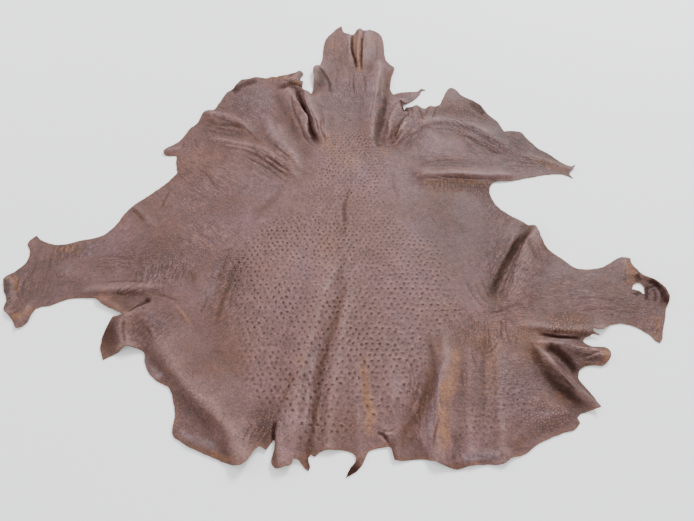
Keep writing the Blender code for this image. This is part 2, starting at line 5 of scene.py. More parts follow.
import bmesh
import bpy
import numpy as np
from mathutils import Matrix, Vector, noise
from mathutils.bvhtree import BVHTree
from mathutils.geometry import delaunay_2d_cdt, interpolate_bezier, intersect_line_line_2d
from mathutils.kdtree import KDTree

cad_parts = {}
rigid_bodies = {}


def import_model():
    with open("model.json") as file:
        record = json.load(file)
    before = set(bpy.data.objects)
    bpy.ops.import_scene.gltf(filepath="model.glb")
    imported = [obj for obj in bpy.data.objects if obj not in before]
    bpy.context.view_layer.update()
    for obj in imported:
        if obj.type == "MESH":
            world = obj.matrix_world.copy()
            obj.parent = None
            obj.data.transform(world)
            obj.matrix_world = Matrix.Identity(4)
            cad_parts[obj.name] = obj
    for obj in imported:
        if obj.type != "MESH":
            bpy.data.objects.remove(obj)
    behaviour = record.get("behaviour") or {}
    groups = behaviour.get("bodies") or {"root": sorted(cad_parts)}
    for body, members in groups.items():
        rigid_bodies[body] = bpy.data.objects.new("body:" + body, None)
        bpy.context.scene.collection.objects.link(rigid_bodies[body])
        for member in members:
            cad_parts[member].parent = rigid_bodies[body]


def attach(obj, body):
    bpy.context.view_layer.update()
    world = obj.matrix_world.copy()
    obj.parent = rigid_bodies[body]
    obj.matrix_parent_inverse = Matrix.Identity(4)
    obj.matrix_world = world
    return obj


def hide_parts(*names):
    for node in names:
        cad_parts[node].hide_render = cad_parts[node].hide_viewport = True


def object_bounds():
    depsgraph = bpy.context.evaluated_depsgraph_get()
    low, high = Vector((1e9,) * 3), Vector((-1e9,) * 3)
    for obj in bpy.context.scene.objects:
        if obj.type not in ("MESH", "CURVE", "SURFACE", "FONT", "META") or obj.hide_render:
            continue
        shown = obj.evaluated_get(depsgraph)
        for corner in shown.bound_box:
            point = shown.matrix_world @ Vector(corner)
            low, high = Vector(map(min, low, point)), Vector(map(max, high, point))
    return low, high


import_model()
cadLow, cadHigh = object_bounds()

# Places on the hide are charted in cm: x right of the spine, y towards the neck from the line of the legs.
cm = 0.01
leftTip = -77.5  # chart x of the hide's left end
neckTip = 95.3  # chart y of its neck end
chartX = cadLow.x - leftTip * cm
chartY = cadHigh.y - neckTip * cm
random.seed(11)
noise.seed_set(11)

hideSettings = {
    "grainSpacing": 0.0050,  # usual step between points: grain side, flesh side, cut edge
    "fleshSpacing": 0.0085,
    "edgeSpacing": 0.0045,
    "fleshGap": 0.0026,  # least gap between points: flesh side, cut edge, creases
    "edgeGap": 0.0012,
    "pleatGap": 0.0019,
    "thickness": 0.002,
    "cornerTurn": math.radians(48),  # the outline stays sharp where it turns by more
    "raggedness": ((0.0011, 75.0), (0.0006, 170.0)),  # of the cut edge: reach, fineness
    "smallestHole": 1.0e-4,  # square metres
    "holeReach": 0.06,  # no hole is wider
    "heightCell": 0.004,
    "undulation": 0.0012,
    "undulationSize": 13.0,  # cm
    "coarseWrinkles": 0.0010,
    "narrowCrease": 0.75,  # half width in cm, below which a crease gets points of its own
    "creaseDepth": 1.35,  # how much deeper than charted
    "ridgeHeight": 0.0045,  # above the broad form, for the full painted highlight on ridges and painted shade in hollows
    "edgeTint": 0.010,  # width of the tint along the cut edge
    "slopeStep": 0.002,
    "steepest": 1.9,  # how much thicker the sheet may get, measured straight down a slope
    "skinGap": 0.0008,  # least gap between the grain side and the flesh side
    "sharpEdge": math.radians(70),
}


# camera, floor and light
cameraSettings = {
    "lens": 28.0,
    "sensor": 36.0,
    "elevation": math.radians(55),
    "distance": 1.25433,
}
lightSettings = {
    "key": {"place": (2.1, 3.2, 3.2), "size": 1.9, "power": 350.0, "tint": (0.96, 0.97, 1.0)},
    "side": {"place": (-2.4, 0.7, 1.4), "size": 1.4, "power": 26.0, "tint": (0.98, 0.98, 1.0)},
    "front": {"place": (0.3, -2.2, 1.8), "size": 2.2, "power": 20.0, "tint": (1.0, 0.96, 0.92)},
    "sky": {"tint": (0.95, 0.97, 1.0, 1.0), "strength": 1.15},
}
floorSettings = {"size": 9.0, "drop": 0.0003, "tint": (0.93, 0.93, 0.93, 1.0), "roughness": 0.9}


def makeCamera(settings):
    data = bpy.data.cameras.new("photoCamera")
    data.lens = settings["lens"]
    data.sensor_width = settings["sensor"]
    camera = bpy.data.objects.new("photoCamera", data)
    bpy.context.scene.collection.objects.link(camera)
    reach = settings["distance"] * math.cos(settings["elevation"])
    height = settings["distance"] * math.sin(settings["elevation"])
    camera.location = (chartX, chartY - reach, height)
    camera.rotation_euler = (math.pi / 2 - settings["elevation"], 0.0, 0.0)
    bpy.context.scene.camera = camera


def makeLights(settings):
    centre = Vector((0.0, 0.0, 0.0))
    for name in ("key", "side", "front"):
        row = settings[name]
        data = bpy.data.lights.new(name + "Light", "AREA")
        data.shape = "DISK"
        data.size = row["size"]
        data.energy = row["power"]
        data.color = row["tint"]
        lamp = bpy.data.objects.new(name + "Light", data)
        lamp.location = row["place"]
        lamp.rotation_euler = (centre - lamp.location).to_track_quat("-Z", "Y").to_euler()
        bpy.context.scene.collection.objects.link(lamp)
    world = bpy.data.worlds.new("studio")
    bpy.context.scene.world = world
    world.use_nodes = True
    sky = world.node_tree.nodes["Background"]
    sky.inputs["Color"].default_value = settings["sky"]["tint"]
    sky.inputs["Strength"].default_value = settings["sky"]["strength"]


def makeFloor(settings):
    mesh = bpy.data.meshes.new("paleFloor")
    build = bmesh.new()
    bmesh.ops.create_grid(build, x_segments=1, y_segments=1, size=settings["size"])
    bmesh.ops.translate(build, verts=build.verts, vec=(0.0, 0.0, -settings["drop"]))
    build.to_mesh(mesh)
    build.free()
    floor = bpy.data.objects.new("paleFloor", mesh)
    bpy.context.scene.collection.objects.link(floor)
    paint = bpy.data.materials.new("paleFloor")
    paint.use_nodes = True
    shader = paint.node_tree.nodes["Principled BSDF"]
    shader.inputs["Base Color"].default_value = settings["tint"]
    shader.inputs["Roughness"].default_value = settings["roughness"]
    mesh.materials.append(paint)


makeCamera(cameraSettings)
makeLights(lightSettings)
makeFloor(floorSettings)
print("camera, lights and floor are in place")


# the cut edge, taken from the CAD hide
def cadHide():
    source = next(node for node in bpy.data.objects if node.name == "hide")
    build = bmesh.new()
    build.from_mesh(source.data)
    bmesh.ops.remove_doubles(build, verts=build.verts, dist=1e-6)
    build.normal_update()
    return build


def flatArea(loop):
    pairs = zip(loop, loop[1:] + loop[:1])
    return sum(a.x * b.y - b.x * a.y for a, b in pairs) / 2.0


def cutLoops(source, settings):
    upper = source.copy()
    facingDown = [face for face in upper.faces if face.normal.z <= 0.0]
    bmesh.ops.delete(upper, geom=facingDown, context="FACES")
    beside = {}
    for edge in upper.edges:
        if len(edge.link_faces) == 1:
            a, b = edge.verts
            beside.setdefault(a, []).append(b)
            beside.setdefault(b, []).append(a)
    loops = []
    while beside:
        start = next(iter(beside))
        loop = [start]
        here = start
        while beside.get(here):
            there = beside[here].pop()
            beside[there].remove(here)
            if there is start:
                break
            loop.append(there)
            here = there
        for vert in loop:
            if vert in beside and not beside[vert]:
                del beside[vert]
        loops.append([vert.co.to_2d() for vert in loop])
    upper.free()
    outer = max(loops, key=lambda loop: abs(flatArea(loop)))
    way = math.copysign(1.0, flatArea(outer))
    return [outer] + [loop for loop in loops if flatArea(loop) * way < -settings["smallestHole"]]


def untangled(points):
    # drops the small knots where the cut line crosses itself
    count = len(points)
    dropped = set()
    for i in range(count):
        for j in range(i + 2, i + 9):
            a, b = points[i], points[(i + 1) % count]
            c, d = points[j % count], points[(j + 1) % count]
            if intersect_line_line_2d(a, b, c, d):
                dropped.update(k % count for k in range(i + 1, j + 1))
    return [point for i, point in enumerate(points) if i not in dropped]


def finerLoop(loop, settings):
    count = len(loop)
    points = []
    for i in range(count):
        here, there = loop[i], loop[(i + 1) % count]
        run = there - here
        handles = []
        for knot, sign in ((i, 1.0), ((i + 1) % count, -1.0)):
            before = loop[knot] - loop[knot - 1]
            after = loop[(knot + 1) % count] - loop[knot]
            sharp = before.length == 0 or after.length == 0 or before.angle(after) > settings["cornerTurn"]
            along = run * sign if sharp else (before.normalized() + after.normalized()) * sign
            handles.append(loop[knot] + along.normalized() * run.length / 3.0)
        parts = max(1, round(run.length / settings["edgeSpacing"]))
        curve = interpolate_bezier(here, handles[0], handles[1], there, parts + 1)
        points += [Vector((p.x, p.y)) for p in curve[:-1]]
    ragged = []
    for i, point in enumerate(points):
        along = points[(i + 1) % len(points)] - points[i - 1]
        out = Vector((along.y, -along.x)).normalized()
        place = Vector((point.x, point.y, 0.3))
        swing = sum(reach * noise.noise(place * size) for reach, size in settings["raggedness"])
        ragged.append(point + out * swing)
    ragged = untangled(untangled(ragged))
    kept = []
    for point in ragged:
        if not kept or (point - kept[-1]).length > settings["edgeGap"]:
            kept.append(point)
    return untangled(kept)


def insideRuns(loops, y):
    crossings = []
    for loop in loops:
        for a, b in zip(loop, loop[1:] + loop[:1]):
            if (a.y > y) != (b.y > y):
                crossings.append(a.x + (y - a.y) / (b.y - a.y) * (b.x - a.x))
    crossings.sort()
    return list(zip(crossings[::2], crossings[1::2]))


def treeOf(points):
    tree = KDTree(len(points))
    for i, point in enumerate(points):
        tree.insert((point[0], point[1], 0.0), i)
    tree.balance()
    return tree


class Scatter:
    # points of a flat sheet, none nearer to another than the gap asked for
    cell = 0.003

    def __init__(self, loops):
        self.loops = loops
        self.points = []
        self.cells = {}
        for loop in loops:
            for a, b in zip(loop, loop[1:] + loop[:1]):
                for share in (0.0, 0.33, 0.67):
                    x, y = a.lerp(b, share)
                    self.cells.setdefault(self.cellOf(x, y), []).append((x, y))
        self.starts = np.array([point for loop in loops for point in loop])
        self.ends = np.array([point for loop in loops for point in loop[1:] + loop[:1]])

    def cellOf(self, x, y):
        return int(x // self.cell), int(y // self.cell)

    def isInside(self, x, y):
        spans = (self.starts[:, 1] > y) != (self.ends[:, 1] > y)
        a, b = self.starts[spans], self.ends[spans]
        crossings = a[:, 0] + (y - a[:, 1]) / (b[:, 1] - a[:, 1]) * (b[:, 0] - a[:, 0])
        return np.count_nonzero(crossings > x) % 2 == 1

    def add(self, x, y, gap):
        column, row = self.cellOf(x, y)
        for i in (column - 1, column, column + 1):
            for j in (row - 1, row, row + 1):
                for px, py in self.cells.get((i, j), ()):
                    if (px - x) ** 2 + (py - y) ** 2 < gap * gap:
                        return
        self.cells.setdefault((column, row), []).append((x, y))
        self.points.append((x, y))

    def addField(self, spacing, gap, wanted=None):
        # a staggered field over the whole sheet
        rowStep = spacing * math.sqrt(3) / 2
        low, high = min(p.y for p in self.loops[0]), max(p.y for p in self.loops[0])
        for row in range(1, int((high - low) / rowStep) + 1):
            y = low + row * rowStep
            for start, end in insideRuns(self.loops, y):
                column = math.ceil(start / spacing)
                while column * spacing < end:
                    x = (column + 0.5 * (row % 2)) * spacing
                    if start < x < end and (wanted is None or wanted(x, y, row, column)):
                        self.add(x, y, gap)
                    column += 1


def fillSheet(loops, inner, settings):
    # triangles over the flat cut piece, with their corners
    corners = [Vector(point) for loop in loops for point in loop]
    edges = []
    first = 0
    for loop in loops:
        edges += [(first + i, first + (i + 1) % len(loop)) for i in range(len(loop))]
        first += len(loop)
    corners += [Vector(point) for point in inner]
    found = delaunay_2d_cdt(corners, edges, [], 1, 1e-7)
    holes = loops[1:]
    kept = []
    for triangle in found[2]:
        middle = (found[0][triangle[0]] + found[0][triangle[1]] + found[0][triangle[2]]) / 3.0
        near = [hole for hole in holes if (middle - hole[0]).length < settings["holeReach"]]
        if not any(isWithin(hole, middle.x, middle.y) for hole in near):
            kept.append(triangle)
    return np.array([(p.x, p.y) for p in found[0]]), kept


def isWithin(loop, x, y):
    inside = False
    for (ax, ay), (bx, by) in zip(loop, loop[1:] + loop[:1]):
        if (ay > y) != (by > y) and x < ax + (y - ay) / (by - ay) * (bx - ax):
            inside = not inside
    return inside


# places beside a charted path
def curvePoints(path, step=1.0):
    places = [Vector(p) for p in path]
    last = len(places) - 1
    points = []
    for i in range(last):
        here, there = places[i], places[i + 1]
        leave = (there - places[max(i - 1, 0)]).normalized()
        arrive = (places[min(i + 2, last)] - here).normalized()
        reach = (there - here).length / 3.0
        parts = max(1, math.ceil((there - here).length / step))
        curve = interpolate_bezier(here, here + leave * reach, there - arrive * reach, there, parts + 1)
        points += curve[:-1]
    return np.array([(p.x, p.y) for p in points + [places[-1]]])


def besidePath(path, reach, x, y):
    # for the points within reach: which, how far left of the path, share along it, and the way left
    points = curvePoints(path)
    low, high = points.min(axis=0) - reach, points.max(axis=0) + reach
    which = np.flatnonzero((x > low[0]) & (x < high[0]) & (y > low[1]) & (y < high[1]))
    px, py = x[which], y[which]
    gap = np.full(len(which), np.inf)
    across = np.zeros(len(which))
    along = np.zeros(len(which))
    way = np.zeros((len(which), 2))
    done = 0.0
    for a, b in zip(points[:-1], points[1:]):
        step = b - a
        length = math.hypot(*step)
        share = np.clip(((px - a[0]) * step[0] + (py - a[1]) * step[1]) / length**2, 0.0, 1.0)
        dx, dy = px - a[0] - share * step[0], py - a[1] - share * step[1]
        far = np.hypot(dx, dy)
        nearer = far < gap
        gap = np.where(nearer, far, gap)
        across = np.where(nearer, far * np.sign(step[0] * dy - step[1] * dx), across)
        along = np.where(nearer, done + share * length, along)
        way[nearer] = (-step[1] / length, step[0] / length)
        done += length
    return which, across, along / done, way


def eased(share):
    share = np.clip(share, 0.0, 1.0)
    return share * share * (3.0 - 2.0 * share)


def ridge(across, halfWidth):
    return 0.5 + 0.5 * np.cos(math.pi * np.clip(np.abs(across) / halfWidth, 0.0, 1.0))


def band(across, halfWidth):
    return eased((1.0 - np.abs(across) / halfWidth) * 1.7)


def taper(share, ends=0.25):
    return eased(share / ends) * eased((1.0 - share) / ends)


def noiseAt(x, y, size, seed):
    # smooth noise at chart places, from -1 to 1
    return np.array([noise.noise((px * size, py * size, seed)) for px, py in zip(x, y)])


# the quill bumps of the crown
quillSettings = {
    "columns": (-32, 40),
    "rowStep": 0.87,  # shares of the pitch: row step, scatter, bump radius
    "jitter": 0.24,
    "size": 0.35,
    "drift": 0.70,  # cm by which the rows wander, and how soon they do
    "driftSize": 0.09,
    "rise": 0.0017,
    "pit": 0.0009,
    "rings": ((0.0, 1), (0.42, 6), (1.0, 7)),  # mesh points: share of the radius, how many
    "pointGap": 0.0012,
    "edgeRoom": 0.9,  # cm from the cut edge
    "reach": (45, 50),  # cm: no bump lies further out
    "spine": 5,  # half width in cm
    "markTurns": (112, 62, 24),  # degrees: left of the spine, on it, right of it
    "markSpread": 26,
    "zones": {  # outline and soft border in cm, pitch towards the neck and towards the tail
        "crown": {
            "outline": (
                (-5.5, 43.5), (-6.5, 42.0), (-7.4, 38.3), (-8.0, 33.0), (-8.8, 27.1), (-11.0, 18.4),
                (-13.8, 14.0),
                (-21.2, 11.4), (-25.1, 5.8), (-27.1, -0.5), (-27.0, -7.3), (-25.5, -12.5), (-23.8, -18.6),
                (-22.6, -24.3), (-21.0, -30.2), (-18.2, -34.3), (-13.8, -37.4), (-10.5, -40.6),
                (-8.8, -42.6),
                (-4.4, -42.6), (-0.1, -42.2), (2.4, -41.2), (5.7, -38.8), (9.6, -36.4), (13.8, -31.8),
                (16.8, -25.3),
                (18.0, -20.6), (22.3, -17.8), (26.6, -14.5), (25.0, -10.0), (23.2, -6.0), (23.0, -1.0),
                (22.6, 3.5),
                (19.5, 7.0), (13.6, 10.4), (10.6, 14.5), (9.6, 20.1), (10.5, 27.1), (10.9, 33.2),
                (9.4, 38.2),
                (5.6, 42.0), (2.2, 44.4), (-1.9, 44.4),
            ),
            "pitch": (1.18, 1.54),
            "strength": 1.0,
            "border": 2.6,
        },
        "haunch": {
            "outline": (
                (25.0, -26.5), (29.4, -27.6), (34.5, -28.2), (37.0, -32.9), (34.0, -38.2), (26.5, -42.3),
                (20.4, -43.6), (19.0, -40.6), (22.0, -35.5), (23.8, -31.0),
            ),
            "pitch": (1.18, 1.28),
            "strength": 0.62,
            "border": 3.0,
        },
    },
}


def quillPlaces(settings, edgeTree):
    # rows: chart x, chart y, pitch, strength, turn of the mark
    quills = []
    for seed, zone in enumerate(settings["zones"].values()):
        outline = zone["outline"]
        border = treeOf(curvePoints(outline + outline[:1], 0.5))
        high, low = max(y for x, y in outline), min(y for x, y in outline)
        y = high
        row = 0
        while y > low:
            pitch = zone["pitch"][0] + (zone["pitch"][1] - zone["pitch"][0]) * (high - y) / (high - low)
            for column in range(*settings["columns"]):
                x = (column + 0.5 * (row % 2)) * pitch
                place = (x * settings["driftSize"], y * settings["driftSize"], seed + 0.5)
                drift = noise.noise_vector(place) * settings["drift"]
                px = x + drift.x + random.gauss(0, 0.5) * settings["jitter"] * pitch
                py = y + drift.y + random.gauss(0, 0.5) * settings["jitter"] * pitch
                if not isWithin(outline, px, py):
                    continue
                inward = border.find((px, py, 0.0))[2] / zone["border"]
                patchy = 0.84 + 0.50 * noise.noise((px * 0.10, py * 0.10, 7.0 + seed))
                strength = zone["strength"] * patchy * min(1.0, 0.3 + 0.7 * inward)
                strength *= random.uniform(0.45, 1.2)
                side = (px >= -settings["spine"]) + (px >= settings["spine"])
                turn = math.radians(random.gauss(settings["markTurns"][side], settings["markSpread"]))
                room = edgeTree.find((chartX + px * cm, chartY + py * cm, 0.0))[2]
                if room > settings["edgeRoom"] * cm:
                    quills.append((px, py, pitch, min(strength, 1.1), turn))
            y -= pitch * settings["rowStep"]
            row += 1
    return np.array(quills)


def addQuills(scatter, quills, settings):
    # the points that a bump needs: its pit, its crest and its foot
    for x, y, pitch, _, turn in quills:
        size = pitch * settings["size"]
        for radius, count in settings["rings"]:
            for k in range(count):
                angle = turn + 2 * math.pi * k / count
                px, py = x + math.cos(angle) * size * radius, y + math.sin(angle) * size * radius
                scatter.add(chartX + px * cm, chartY + py * cm, settings["pointGap"])


# creases, charted: path, half width in cm, depth in mm (a ridge is negative)
creases = {
    "left wing": (
        (((-27.4, 37.0), (-22.9, 34.7), (-19.6, 32.1), (-16.3, 29.1), (-13.6, 25.8)), 0.5, 1.7),
        (((-28.0, 35.6), (-24.2, 34.0), (-21.3, 31.6), (-18.0, 28.7), (-14.8, 25.2)), 0.5, 1.5),
        (((-29.3, 34.3), (-26.0, 32.8), (-22.1, 30.3), (-18.3, 26.8), (-14.0, 23.0)), 0.5, 1.2),
        (((-20.1, 33.5), (-17.2, 30.9), (-14.9, 28.3), (-13.1, 26.9)), 0.5, 1.6),
        (((-20.6, 39.2), (-17.6, 35.5), (-15.6, 33.1), (-15.8, 31.5)), 0.45, 1.4),
        (((-22.4, 33.2), (-19.0, 30.4), (-15.6, 27.4)), 0.4, -1.0),
        (((-21.0, 34.0), (-18.0, 31.2), (-14.6, 28.0)), 0.4, -1.0),
        (((-35.5, 38.4), (-30.8, 37.3), (-26.2, 36.1), (-22.4, 34.3), (-19.8, 32.2)), 0.6, -2.2),
        (((-40.9, 49.0), (-36.7, 46.4), (-30.9, 45.6), (-28.4, 43.6)), 0.8, 1.6),
        (((-41.5, 47.2), (-36.0, 44.8), (-31.0, 43.6)), 0.6, 1.1),
        (((-40.4, 45.0), (-35.0, 42.6), (-30.0, 41.6)), 0.6, 0.9),
        (((-29.9, 45.9), (-26.9, 42.7), (-23.8, 38.9)), 0.6, 1.2),
        (((-22.9, 49.9), (-21.4, 44.1), (-18.8, 39.2), (-16.2, 34.4)), 1.7, -2.0),
        (((-16.1, 52.4), (-13.1, 45.2), (-11.1, 40.2), (-8.2, 37.0)), 0.5, 1.4),
        (((-46.3, 15.4), (-45.7, 19.0), (-45.2, 22.1)), 0.5, 1.7),
        (((-54.0, 16.0), (-51.6, 13.8), (-49.0, 11.0)), 0.7, 1.5),
        (((-40.5, 24.1), (-38.9, 25.3), (-37.3, 26.4)), 0.35, -0.7),
        (((-16.7, 23.8), (-18.5, 18.4), (-20.8, 15.9), (-23.5, 13.8)), 1.5, 0.6),
        (((-44.8, 39.4), (-44.6, 37.6), (-44.9, 35.8)), 0.6, 1.3),
        (((-42.2, 41.6), (-40.9, 37.9), (-39.8, 36.4)), 0.6, 1.1),
        (((-40.0, 30.0), (-36.0, 26.4), (-33.4, 22.0)), 0.7, 0.9),
    ),
    "pocket": (
        (((-15.5, 61.3), (-14.8, 54.3), (-13.0, 48.5), (-11.7, 43.7), (-10.1, 40.7), (-8.7, 39.0)),
          0.42, -2.6),
        (((-16.3, 59.4), (-15.8, 53.6), (-14.2, 48.6), (-12.9, 43.9)), 0.45, 1.6),
        (((-14.4, 60.6), (-13.2, 55.0), (-11.6, 49.7), (-10.3, 44.8), (-9.0, 41.1), (-7.9, 39.6)), 0.8, 3.4),
        (((-12.9, 61.0), (-11.2, 54.6), (-9.7, 49.5), (-8.8, 44.3), (-7.7, 40.8)), 0.42, -2.4),
        (((-6.9, 48.9), (-7.3, 44.2), (-6.6, 41.9), (-5.9, 39.5)), 0.45, 1.8),
        (((-10.4, 53.0), (-8.9, 48.4), (-8.1, 43.9), (-7.1, 40.4)), 0.4, 1.4),
        (((-6.0, 48.0), (-6.2, 44.0), (-5.4, 40.6)), 0.4, -1.2),
        (((-17.5, 64.5), (-16.3, 64.0), (-14.6, 63.7), (-13.5, 62.9)), 0.5, 2.4),
        (((-17.2, 62.6), (-15.7, 62.5), (-14.9, 61.4)), 0.5, 2.0),
        (((-16.8, 66.8), (-15.4, 65.8), (-14.0, 65.0)), 0.5, -2.2),
        (((-22.9, 67.2), (-22.7, 66.0), (-22.6, 64.6)), 0.35, 1.1),
        (((-21.2, 68.0), (-20.9, 67.0), (-20.6, 65.4)), 0.35, 1.1),
        (((-19.2, 66.6), (-18.6, 65.6), (-17.8, 64.4)), 0.4, 1.5),
        (((-9.6, 73.0), (-7.2, 69.6), (-5.4, 65.2), (-4.9, 60.0)), 0.6, 2.4),
    ),
    "left leg": (
        (((-52.2, -9.4), (-48.4, -9.6), (-43.9, -9.9)), 0.5, 0.9),
        (((-47.4, -14.2), (-46.3, -12.9), (-44.6, -11.8), (-43.5, -10.9)), 0.45, 1.5),
        (((-56.0, -6.4), (-50.0, -6.0), (-44.0, -6.4)), 0.6, 0.9),
        (((-60.0, 0.4), (-54.0, 1.0), (-48.0, 0.2)), 0.6, 0.8),
        (((-44.6, -9.0), (-41.0, -9.6), (-36.6, -11.4)), 0.5, 1.0),
        (((-73.0, 2.0), (-71.8, -2.0), (-72.4, -7.6)), 0.7, 1.1),
        (((-69.6, 2.4), (-68.4, -2.0), (-68.8, -8.0)), 0.6, 0.8),
        (((-66.6, -3.6), (-65.4, -5.0), (-64.2, -4.4), (-64.6, -3.2)), 0.4, 0.9),
        (((-67.6, -0.4), (-66.8, -1.6), (-65.6, -1.2)), 0.4, 0.8),
        (((-47.7, -15.4), (-47.2, -18.8), (-45.7, -22.2)), 0.6, 1.5),
        (((-44.0, -17.0), (-42.0, -18.6), (-40.6, -21.0)), 0.6, 1.1),
        (((-45.6, -15.0), (-42.4, -16.0), (-39.0, -19.0)), 0.5, -0.8),
        (((-74.6, -5.6), (-74.0, -7.4), (-73.6, -9.2)), 0.6, 1.4),
        (((-74.1, -3.6), (-74.0, -7.1), (-73.0, -9.4), (-71.3, -11.5)), 0.32, 1.0),
        (((-72.5, -3.8), (-72.7, -7.6), (-71.6, -10.4)), 0.32, 1.0),
        (((-70.9, -4.2), (-71.0, -7.5), (-70.2, -10.0)), 0.32, 0.9),
        (((-69.4, -4.2), (-69.3, -7.5), (-68.8, -9.8)), 0.32, 0.8),
    ),
    "right leg": (
        (((67.3, -7.0), (66.8, -8.4), (66.2, -9.8), (65.6, -10.9)), 0.35, 1.2),
        (((67.3, -8.6), (67.2, -9.8), (66.9, -11.0)), 0.32, -1.4),
        (((68.2, -7.8), (68.2, -10.0), (67.6, -11.8)), 0.32, 1.3),
        (((68.8, -8.4), (68.9, -10.2), (68.4, -12.0)), 0.32, -1.2),
        (((69.3, -9.4), (69.3, -10.8), (68.9, -12.2)), 0.32, 1.0),
        (((67.0, -8.1), (68.4, -7.5), (69.4, -7.4)), 0.35, 1.2),
        (((66.8, -5.4), (68.3, -6.6), (69.6, -8.0)), 0.35, 1.2),
        (((64.8, -16.5), (64.9, -18.3), (65.0, -20.0)), 0.35, 1.0),
        (((66.9, -15.9), (65.9, -18.1), (65.5, -20.0)), 0.35, 1.0),
        (((59.4, -13.7), (61.9, -14.0), (64.4, -13.7)), 0.4, 0.8),
    ),
    "left knot": (
        (((-24.1, 1.7), (-25.9, -2.8), (-26.4, -6.1), (-27.4, -10.3), (-27.9, -14.8), (-29.1, -18.2)),
          0.9, 1.6),
        (((-29.4, -0.6), (-29.9, -3.9), (-30.2, -7.8), (-31.0, -11.0)), 0.8, -1.3),
        (((-31.0, -3.6), (-30.4, -5.2), (-29.0, -4.8), (-29.4, -3.2)), 0.35, 1.2),
        (((-27.2, 2.2), (-28.4, -0.6), (-28.0, -4.0)), 0.4, 1.1),
        (((-24.8, -5.0), (-25.6, -9.0), (-26.0, -13.0)), 0.45, 1.0),
        (((-22.4, 2.2), (-24.0, -2.2), (-24.6, -7.0)), 0.45, 0.9),
        (((-31.8, -8.0), (-31.0, -11.0), (-32.0, -15.0)), 0.5, 0.9),
        (((-26.0, 4.8), (-27.6, 3.0), (-30.4, 2.4)), 0.4, 0.8),
        (((-38.0, 8.1), (-34.5, 5.5), (-32.3, 3.5), (-30.5, 1.4)), 0.38, -0.9),
        (((-38.0, -12.0), (-36.3, -13.5), (-34.7, -15.4), (-33.3, -17.4)), 0.5, -1.1),
        (((-36.4, -3.0), (-34.9, -4.8), (-34.6, -7.0)), 0.9, 1.0),
    ),
    "tail": (
        (((-16.8, -38.3), (-17.8, -41.1), (-18.1, -43.4)), 0.38, 1.3),
        (((-16.0, -38.2), (-17.0, -40.3), (-17.7, -43.0)), 0.38, 1.3),
        (((-15.2, -38.5), (-16.3, -40.9), (-17.1, -42.3)), 0.38, 1.2),
        (((-14.5, -38.9), (-15.3, -40.8), (-15.4, -42.4)), 0.38, 1.2),
        (((-17.8, -38.0), (-19.0, -40.6), (-19.4, -43.4)), 0.38, 1.0),
        (((-13.7, -37.6), (-13.9, -39.6), (-13.8, -41.4)), 0.5, 2.8),
        (((5.6, -40.0), (6.9, -40.5), (7.7, -42.0)), 0.4, 1.4),
        (((6.3, -39.6), (8.1, -39.8), (9.3, -39.0)), 0.4, 1.4),
        (((6.8, -41.2), (7.8, -40.8), (9.0, -41.0)), 0.35, 1.1),
        (((-1.9, -9.2), (-2.9, -16.0), (-4.1, -20.3)), 1.0, 1.3),
        (((-4.1, -20.3), (-5.2, -24.5), (-5.9, -28.9), (-6.5, -33.0), (-6.8, -37.0), (-7.0, -40.8),
          (-7.2, -43.4)), 0.9, 1.8),
        (((-6.3, -21.9), (-7.5, -28.2), (-7.9, -35.1), (-8.3, -40.5)), 0.8, -1.6),
        (((-10.5, -27.6), (-12.2, -32.4), (-13.3, -35.7), (-15.4, -37.9)), 0.7, 1.0),
        (((16.6, -18.2), (17.3, -23.8), (17.2, -28.3), (15.8, -32.4), (13.4, -37.0), (10.6, -40.8),
          (9.2, -43.6)), 1.0, 2.0),
        (((18.9, -26.0), (18.6, -29.6), (18.0, -33.3), (16.7, -36.9), (15.4, -39.7), (14.5, -42.4)),
          1.0, -1.6),
        (((14.8, -29.6), (13.0, -34.0), (11.0, -38.2)), 0.4, 1.0),
        (((16.2, -30.0), (14.8, -34.0), (12.6, -38.4)), 0.35, 0.9),
        (((17.8, -37.0), (16.6, -40.0), (15.8, -43.4)), 0.4, 0.9),
        (((12.2, -37.6), (10.8, -40.6), (10.2, -43.4)), 0.35, 0.9),
        (((0.4, 32.3), (0.8, 28.6), (0.6, 22.9)), 0.5, 0.35),
        (((0.6, 22.9), (-0.8, 16.2), (-0.6, 10.9), (-1.3, 5.8)), 0.7, 1.2),
        (((-0.7, 1.9), (-1.6, -2.9), (-2.3, -7.5)), 0.9, 1.0),
        (((3.4, -22.0), (3.2, -28.7), (3.6, -32.9), (4.4, -37.6)), 0.5, 1.0),
    ),
    "haunch": (
        (((27.0, -24.1), (28.5, -23.8), (29.9, -23.2), (31.1, -22.0), (32.2, -21.2)), 0.32, 1.4),
        (((30.2, -16.4), (29.9, -19.8), (29.3, -22.9)), 0.32, 1.3),
        (((33.2, -15.6), (32.8, -18.2), (32.1, -20.7)), 0.32, 1.2),
        (((34.1, -16.0), (33.8, -19.0), (34.2, -22.1)), 0.32, 1.1),
        (((36.5, -18.2), (35.4, -21.0), (35.2, -23.2)), 0.32, 1.1),
        (((25.6, -23.7), (26.3, -25.9), (26.5, -28.1)), 0.32, 1.0),
        (((23.4, -27.5), (23.0, -29.5), (23.1, -31.6)), 0.3, 0.8),
        (((24.1, -27.5), (23.9, -29.6), (23.8, -31.5)), 0.3, 0.8),
        (((25.4, -12.9), (26.6, -15.0), (27.2, -17.2)), 0.32, 1.2),
        (((21.6, -15.6), (22.3, -17.2), (22.8, -18.6)), 0.32, 0.9),
        (((28.2, -15.4), (28.0, -17.8), (27.2, -20.4)), 0.32, 0.9),
        (((24.4, -17.4), (25.0, -19.6), (24.6, -22.0)), 0.32, 0.8),
        (((21.5, -30.6), (22.7, -30.7), (23.8, -30.7)), 0.3, -0.9),
        (((20.3, -35.4), (21.3, -35.5), (22.3, -35.5)), 0.3, -0.9),
        (((30.4, -13.7), (31.8, -14.1), (33.3, -13.7), (34.7, -13.5)), 0.45, 1.5),
